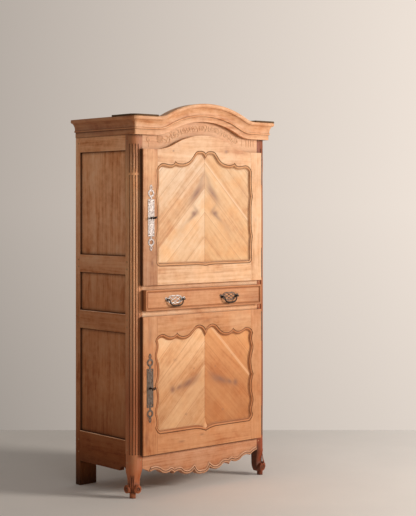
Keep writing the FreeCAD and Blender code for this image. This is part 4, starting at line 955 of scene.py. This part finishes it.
SCROLL_STAND = 10 * MM  # how far a foot's scrolls stand out
EYE_HEIGHT, EYE_REACH = 48 * MM, 33 * MM  # of a scroll's eye: up, from the corner
# A foot's leaf: distance from the corner, height and half-width in mm, and whether the side
# stems are thinner there
FOOT_LEAF = ((13, 118, 0.8, 0), (12, 92, 2.6, 0), (7, 66, 4.6, 1), (6, 46, 4.2, 1),
             (14, 28, 1.6, 0))


def foot_post(side):
    """A front post's two box corners and its outer face."""
    low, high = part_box("left_front_post" if side < 0 else "right_front_post")
    return low, high, low.x if side < 0 else high.x


def scroll_faces(side):
    """The faces of a foot's front scroll and outer scroll, as functions of a spot on them."""
    low, _, outer = foot_post(side)
    eye_x = outer - side * (SCROLL_STAND + EYE_REACH)
    eye_y = low.y + SCROLL_STAND + EYE_REACH
    return (lambda across, up, out: (eye_x + across, low.y - out, EYE_HEIGHT + up),
            lambda across, up, out: (outer + side * out, eye_y + across * side, EYE_HEIGHT + up))


def foot_lines(side):
    """Scrolls on the front and the outer face of a foot, and the leaf between them."""
    low, _, outer = foot_post(side)
    corner, face = outer - side * SCROLL_STAND, low.y + SCROLL_STAND
    widths = [2.9 * MM * (1 - 0.5 * step / (SPIRAL_POINTS - 1)) for step in range(SPIRAL_POINTS)]
    turning = list(spiral(-1.7 * side, 18.2 * MM, 4.6 * MM, 90))
    lines = []
    for spot in scroll_faces(side):
        lines.append(([spot(a, b, 0) for a, b in turning], widths))
        lines.append(([spot(0, 0, -1 * MM), spot(0, 0, 0.6 * MM)], [3.6 * MM, 2.8 * MM]))
    for thinner, lean in ((0.0, 0), (0.5, 6), (0.5, -6)):
        lines.append(([(corner - side * (inwards - lean) * MM, face + (inwards + lean) * MM, up * MM)
                       for inwards, up, _, _ in FOOT_LEAF],
                      [(width - thinner * share) * MM for _, _, width, share in FOOT_LEAF]))
    return lines


def foot_eyes(side):
    """Dark discs at the eyes of a foot's two scrolls: painted shade of their sunk hollows."""
    return [([spot(0, 0, -2 * MM), spot(0, 0, 0.3 * MM)], [9 * MM] * 2)
            for spot in scroll_faces(side)]


REED_ROUND, REED_SINK, REED_WIDTH = 40 * MM, 2.4 * MM, 4.2 * MM  # corner radius, depth, half-width
REED_END, REED_TAPER, REEDS = 0.8 * MM, 8 * MM, 4
# Bottom and top of the long reeds and of the short ones above them
REED_RUNS = ((226 * MM, 1648 * MM), (1670 * MM, 1781 * MM))


def reed_lines(side):
    """Round reeds between the grooves of a front post, over its rounded corner."""
    low, _, outer = foot_post(side)
    corner, face = outer - side * SCROLL_STAND, low.y + SCROLL_STAND
    lines = []
    for step in range(REEDS):
        turn = math.radians(90 / REEDS * (step + 0.5))
        x = corner - side * (REED_ROUND - (REED_ROUND - REED_SINK) * math.cos(turn))
        y = face + REED_ROUND - (REED_ROUND - REED_SINK) * math.sin(turn)
        for bottom, top in REED_RUNS:
            heights = (bottom, bottom + REED_TAPER, (bottom + top) / 2, top - REED_TAPER, top)
            lines.append(([(x, y, height) for height in heights],
                          [REED_END, REED_WIDTH, REED_WIDTH, REED_WIDTH, REED_END]))
    return lines


PANEL_TONGUE, RIDGE_WIDTH, RIDGE_POINTS = 10 * MM, 2.0 * MM, 9


def ridge_lines(side):
    """A pale ridge on the upper edge of two rails of a side frame: partly wear, partly painted
    highlight of the lit edge.
    """
    name = "left" if side < 0 else "right"
    low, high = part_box(f"{name}_bottom_rail")
    face = (low.x if side < 0 else high.x) - side * 0.5 * MM
    front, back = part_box(f"{name}_front_post")[1].y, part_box(f"{name}_rear_post")[0].y
    heights = (high.z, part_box(f"{name}_middle_panel")[0].z + PANEL_TONGUE)
    steps = range(RIDGE_POINTS)
    depths = [front + (back - front) * step / (RIDGE_POINTS - 1) for step in steps]
    return [([(face, depth, height - 0.8 * MM) for depth in depths],
             [RIDGE_WIDTH * (1 + 0.35 * math.sin(step * 2.1 + height * 9)) for step in steps])
            for height in heights]


# near black: painted shade of the hollow at each scroll's eye
EYE_SHADE = (0.045, 0.018, 0.010)


class BONNETIERE_OT_carving(bpy.types.Operator):
    """Carve the foliage of the frieze, the feet, the reeds and the pale ridges of the sides, partly
    wear and partly painted highlight
    """
    bl_idname = "bonnetiere.carving"
    bl_label = "Carving"

    def execute(self, context):
        w = woods()
        frieze = beads("frieze_carving", frieze_lines(), (1, FACE_Y, 0.9))
        dress(frieze, "carcass", "carved_frieze_wood", shade(w.frieze, 1.04), "X", 60, seed=31.0,
              dirt=0.6)
        for side, name in SIDES:
            rows = (("foot_scrolls", "scroll_wood", foot_lines, shade(w.posts, 0.72), "Z", 60,
                     dict(seed=32.0, dirt=1.6, fade=POST_FADE)),
                    ("foot_eyes", "eye_shade_wood", foot_eyes, EYE_SHADE, "Z", 40, dict(seed=33.0)),
                    # the ridges take a paler copy of the sides' wood: painted highlight along the
                    # rails' top edges, partly wear
                    ("rail_ridges", "ridge_highlight_wood", ridge_lines, shade(w.sides, 1.15), "Y", 60,
                     dict(seed=35.0, dirt=0.2)),
                    # the right post's reeds take a darker copy of the posts' wood, as painted shade
                    ("post_reeds", "reed_wood", reed_lines,
                     shade(w.posts, 1.06 if side < 0 else 0.62), "Z", 60,
                     dict(seed=34.0, dirt=0.5, shine=0.45, fade=POST_FADE)))
            for kind, wood, lines, tone, along, angle, looks in rows:
                piece = beads(f"{name}_{kind}", lines(side))
                dress(piece, "carcass", f"{name}_{wood}", tone, along, angle, **looks)
        return {"FINISHED"}


# ---- metalwork
# Steels: name, screen colour, rust, roughness
# the upper lock plate, its engraving and the left handle get lighter steels, painted light; the lower
# lock plate and the right handle a darker one, painted shade, which the hinges have as their own colour
STEELS = (("lit_silver", (172, 164, 159), 0.5, 0.42), ("polished", (164, 152, 146), 0.4, 0.40),
          ("bright", (130, 120, 115), 0.5, 0.46), ("dull_and_shaded", (98, 86, 78), 0.9, 0.46),
          ("dark", (74, 62, 55), 1.0, 0.46))
STEEL_NODES = {
    "bright": ("upper_escutcheon",),
    "dull_and_shaded": ("lower_escutcheon", "upper_hinge_knuckles", "lower_hinge_knuckles", "hinge_pintles"),
    "dark": ("upper_key", "lower_key", "upper_lock_case", "lower_lock_case", "upper_lock_bolt",
             "lower_lock_bolt"),
}


HATCHES, TICKS = 10, 7
# Where the hatching starts and ends, and where the ring is, as shares of a lock plate's half-height
HATCH_START, HATCH_END, RING_UP = 0.20, 0.53, 0.74
# Nail heads of a lock plate: shares of its half-width and of its half-height
NAILS = ((-0.7, 0.44), (0.7, 0.44), (-0.7, -0.44), (0.7, -0.44), (0, 0.60), (0, -0.60))


def plate_lines(door):
    """Engraved ribs, ticks and nail heads of a lock plate, as beads on its face."""
    centre, size = span(f"{door}_escutcheon")
    x, middle, half = centre.x, centre.z, size.z
    wide, face = size.x - 3 * MM, centre.y - size.y

    def bar(a, b, width=0.8):
        return on_front([a, b], face), [width * MM] * 2

    lines = []
    for side in (-1, 1):
        start, end = middle + side * half * HATCH_START, middle + side * half * HATCH_END
        for step in range(HATCHES):
            z = start + (end - start) * (step + 0.5) / HATCHES
            lines.append(bar((x - wide * 0.82, z - 1.6 * MM), (x + wide * 0.82, z + 1.6 * MM)))
        for edge in (-wide * 0.92, wide * 0.92):
            lines.append(bar((x + edge, start), (x + edge, end)))
        lines += [bar((x - wide, z), (x + wide, z), 1.2) for z in (start, end)]
        for step in range(TICKS):
            spot = x - wide * 0.85 + wide * 1.7 * step / (TICKS - 1)
            z = start - side * 5 * MM
            lines.append(bar((spot, z - 2.2 * MM), (spot, z + 2.2 * MM)))
        ring = middle + side * half * RING_UP
        rim = [(x + a, ring + b) for a, b in spiral(1, wide * 0.78, wide * 0.78, 0, 15)]
        lines.append((on_front(rim, face), [0.9 * MM] * len(rim)))
    for across, up in NAILS:
        a, z = x + wide * across, middle + half * up
        lines.append(([(a, face + 0.3 * MM, z), (a, face - 0.7 * MM, z)], [2.0 * MM, 1.3 * MM]))
    return lines


EAR_X = 51  # of a handle's ears, in mm
# Half the upper and the lower edge of a handle's plate, in mm from its middle
PLATE_TOP = ((0, 20), (9, 19), (19, 21), (33, 18), (39, 15), (43, 6), (EAR_X, 0))
PLATE_FOOT = ((0, -21), (9, -19), (19, -20), (31, -17), (38, -14), (43, -6), (EAR_X, 0))
# Crossed bars of half a plate's lattice: where each starts and ends, mirrored up and down
LATTICE = (((-17, -19), (42, 15)), ((14, -19), (44, -2)))
PETAL_ROOT, PETAL_TIP = 4, 10  # of the rosette behind an ear


def handle_lines(bail):
    """The pierced plate of a handle with its rosettes, and the ears that carry the bail."""
    x, back, z = span(bail)[0].x, DRAWER_Y, span("handle_plates")[0].z
    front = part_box(bail)[0].y - 1 * MM

    def flat(spots, width):
        return [(x + a * MM, back - 1 * MM, z + b * MM) for a, b in spots], [width * MM] * len(spots)

    plate, ears = [], []
    for side in (-1, 1):
        plate += [flat([(side * a, b) for a, b in edge], 2.0) for edge in (PLATE_TOP, PLATE_FOOT)]
        for tilt in (-1, 1):
            plate += [flat([(side * a, tilt * b) for a, b in ends], 1.6) for ends in LATTICE]
        for step in range(PETALS):
            turn = math.tau * step / PETALS
            plate.append(flat([(side * EAR_X + reach * math.cos(turn), reach * math.sin(turn))
                               for reach in (PETAL_ROOT, PETAL_TIP)], 2.6))
        curl = [(side * (62 + a), 5 + b) for a, b in spiral(-0.9, 7, 2, 200, 10)]
        plate.append((flat(curl, 1)[0], [(2.8 - 0.12 * step) * MM for step in range(10)]))
        ear = x + side * EAR_X * MM
        ears.append(([(ear, back, z), (ear, back - 8 * MM, z), (ear, front, z)],
                     [6 * MM, 4.5 * MM, 5.5 * MM]))
    return plate, ears


PIN_WIDTH = 2.6 * MM
# Half a bail, in mm: inwards from a pin's end, drop, half-width
BOW = ((0, 0, 2.6), (6, 0, 2.6), (10.5, 0, 2.6), (12, 4, 2.7), (12.5, 12, 3.0), (17, 22, 3.5),
       (27, 29, 4.3), (41, 32, 5.0), (55.5, 32.5, 5.3))


def bow_line(bail):
    """A bail as one bent bar: two pins, two curved arms and a swelling grip between them."""
    middle, half = span(bail)
    pivot = middle.z + half.z - PIN_WIDTH
    rows = [(side, *row) for side, half_bow in ((-1, BOW), (1, BOW[-2::-1])) for row in half_bow]
    return ([(middle.x + side * (half.x - inwards * MM), middle.y, pivot - drop * MM)
             for side, inwards, drop, _ in rows], [width * MM for *_, width in rows])


class BONNETIERE_OT_metalwork(bpy.types.Operator):
    """Give the locks, plates, handles and hinges their steel and their engraving"""
    bl_idname = "bonnetiere.metalwork"
    bl_label = "Metalwork"

    def execute(self, context):
        made = {name: steel(f"{name}_steel", srgb(*tone), rust, rough)
                for name, tone, rust, rough in STEELS}
        for name, nodes in STEEL_NODES.items():
            for node in nodes:
                paint(NODES[node], made[name])
        # one engraved steel, lighter on the upper plate as painted light and darker on the lower as
        # painted shade
        for door, name in (("upper", "polished"), ("lower", "dull_and_shaded")):
            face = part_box(f"{door}_escutcheon")[0].y
            piece = beads(f"{door}_plate_engraving", plate_lines(door), (1, face, 0.6))
            finish_piece(piece, f"{door}_door", made[name], 50)
        # one handle steel, lighter on the left as painted light and darker on the right as painted
        # shade
        for side, metal in (("left", "lit_silver"), ("right", "dull_and_shaded")):
            bail = f"{side}_bail"
            plate, ears = handle_lines(bail)
            piece = beads(f"{side}_handle_plate", plate, (1, DRAWER_Y, 0.8))
            finish_piece(piece, "drawer", made[metal], 50)
            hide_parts("handle_plates")
            piece = beads(f"{side}_handle_ears", ears)
            finish_piece(piece, "drawer", made["dark"], 50)
            bow = beads(f"{bail}_bow", [bow_line(bail)])
            finish_piece(bow, bail, made["dark"], 50)
            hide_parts(bail)
        return {"FINISHED"}


# ---- floor, light and camera
CAMERA_PLACE = Vector((-4.5449, -5.44625, 1.4902))
CAMERA_YAW = 0.7196
CAMERA_SHIFT = -51.125 / 516  # as a share of the frame's height
FORWARD = Vector((math.sin(CAMERA_YAW), math.cos(CAMERA_YAW), 0))
RIGHTWARDS = Vector((math.cos(CAMERA_YAW), -math.sin(CAMERA_YAW), 0))
FLOOR_NEAR, FLOOR_FAR, FLOOR_HALF = -9.0, 1.59, 9.0
FLOOR_GLOW = (0.17, 0.16, 0.15)  # light that the floor's right side adds
ROOM_TINT = (1.0, 0.985, 0.965, 1)
BACKDROP_SWEEP = (-0.16, 0.16, 0.68, 1.24)  # brightness from the left to the right
BACKDROP_BELOW = (-0.2, 0)  # and how much darker it gets below
# Lamps: name, place, width, share of the key light's power and tint
LAMPS = (("key_light", (3.4, -5.0, 2.5), 1.8, 1.0, (1.0, 0.97, 0.93)),
         ("front_light", (-2.0, -5.5, 2.4), 2.6, 0.06, (1.0, 0.98, 0.96)))


class BONNETIERE_OT_stage(bpy.types.Operator):
    """Lay the floor, hang the lights and set up the camera"""
    bl_idname = "bonnetiere.stage"
    bl_label = "Stage"

    def execute(self, context):
        stage = context.scene.bonnetiere_stage
        self.make_floor(stage)
        self.make_room(stage, context.scene)
        self.make_lights(stage)
        self.make_camera(stage, context.scene)
        context.scene.view_settings.view_transform = "Standard"
        return {"FINISHED"}

    def make_floor(self, stage):
        deselect()
        bpy.ops.mesh.primitive_plane_add(size=1)
        floor = bpy.context.object
        floor.name = "floor"
        floor.scale = (2 * FLOOR_HALF, FLOOR_FAR - FLOOR_NEAR, 1)
        floor.rotation_euler = (0, 0, -CAMERA_YAW)
        floor.location = FORWARD * ((FLOOR_NEAR + FLOOR_FAR) / 2)
        settle(floor)
        finish = Finish("floor_screed")
        x, y, z = finish.place()
        cloud = finish.noise(x * 1.3, y * 1.3, z, 4.0, 0.6)
        grit = finish.noise(x * 60, y * 60, z, 2.0)
        tone = tuple(stage.floor)
        base = finish.mix(((cloud - 0.3) * 1.2 + (grit - 0.5) * 0.3).clamped(), dim(tone, 0.93),
                          dim(tone, 1.05))
        bright = ((x * RIGHTWARDS.x + y * RIGHTWARDS.y + 0.1) * 0.6).clamped()
        glow = finish.mix(bright, (0.0, 0.0, 0.0), FLOOR_GLOW)
        paint(floor, finish.surface(base, 0.85 + grit * 0.1, grit, 0.2 * MM, Specular_IOR_Level=0.15,
                                    Emission_Color=glow, Emission_Strength=1.0))

    def make_room(self, stage, scene):
        """Even light, and a backdrop for the camera and for what is mirrored or seen through."""
        room = Finish("studio", "worlds")
        camera, mirrored, through = [room.node("ShaderNodeLightPath", output=f"Is {ray} Ray")
                                     for ray in ("Camera", "Glossy", "Transmission")]
        seen = room.highest(room.highest(camera, mirrored), through)
        towards = room.node("ShaderNodeTexCoord", output="Generated")
        across = room.node("ShaderNodeVectorMath", {"operation": "DOT_PRODUCT"},
                           [towards, RIGHTWARDS], output="Value")
        sweep = room.node("ShaderNodeMapRange", None, [across, *BACKDROP_SWEEP])
        below = room.node("ShaderNodeClamp", None, [room.parts(towards)[2], *BACKDROP_BELOW])
        light = room.node("ShaderNodeBackground", None, [ROOM_TINT, stage.fill])
        wall = room.node("ShaderNodeBackground", None, [(*stage.backdrop, 1), sweep + below])
        scene.world = room.close(room.node("ShaderNodeMixShader", None, [seen, light, wall]), "World")

    def make_lights(self, stage):
        target = Vector((0, 0, 1.0))
        for name, place, size, share, tint in LAMPS:
            lamp = bpy.data.lights.new(name, "AREA")
            lamp.shape, lamp.size, lamp.energy, lamp.color = "DISK", size, stage.key * share, tint
            holder = new_piece(name, lamp)
            holder.location = place
            holder.rotation_euler = (target - Vector(place)).to_track_quat("-Z", "Y").to_euler()
            holder.visible_camera = False

    def make_camera(self, stage, scene):
        camera = bpy.data.cameras.new("camera")
        camera.sensor_width, camera.lens, camera.shift_y = 36, stage.lens, CAMERA_SHIFT
        holder = new_piece("camera", camera)
        holder.location = CAMERA_PLACE
        holder.rotation_euler = (math.pi / 2, 0, -CAMERA_YAW)
        scene.camera = holder


class BONNETIERE_PT_sidebar(bpy.types.Panel):
    """Lists the groups of pieces"""
    bl_idname = "BONNETIERE_PT_sidebar"
    bl_label = "Bonnetiere"
    bl_space_type = "VIEW_3D"
    bl_region_type = "UI"
    bl_category = "Bonnetiere"

    def draw(self, context):
        for operator in OPERATORS:
            self.layout.operator(operator.bl_idname)
        for group in (context.scene.bonnetiere_sizes, context.scene.bonnetiere_woods,
                      context.scene.bonnetiere_stage):
            for name in group.__annotations__:
                self.layout.prop(group, name)


OPERATORS = (BONNETIERE_OT_woodwork, BONNETIERE_OT_door_mouldings, BONNETIERE_OT_apron_beads,
             BONNETIERE_OT_carving, BONNETIERE_OT_metalwork, BONNETIERE_OT_stage)
GROUPS = {"bonnetiere_woods": BonnetiereWoods, "bonnetiere_sizes": BonnetiereSizes,
          "bonnetiere_stage": BonnetiereStage}


def register():
    for group in (*GROUPS.values(), *OPERATORS, BONNETIERE_PT_sidebar):
        bpy.utils.register_class(group)
    for name, group in GROUPS.items():
        setattr(bpy.types.Scene, name, PointerProperty(type=group))


def unregister():
    for name in GROUPS:
        delattr(bpy.types.Scene, name)
    for group in reversed((*GROUPS.values(), *OPERATORS, BONNETIERE_PT_sidebar)):
        bpy.utils.unregister_class(group)


def main():
    """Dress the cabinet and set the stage."""
    register()
    bpy.ops.bonnetiere.woodwork()
    bpy.ops.bonnetiere.door_mouldings()
    bpy.ops.bonnetiere.apron_beads()
    bpy.ops.bonnetiere.carving()
    bpy.ops.bonnetiere.metalwork()
    bpy.ops.bonnetiere.stage()
    deselect()


if __name__ == "__main__":
    main()
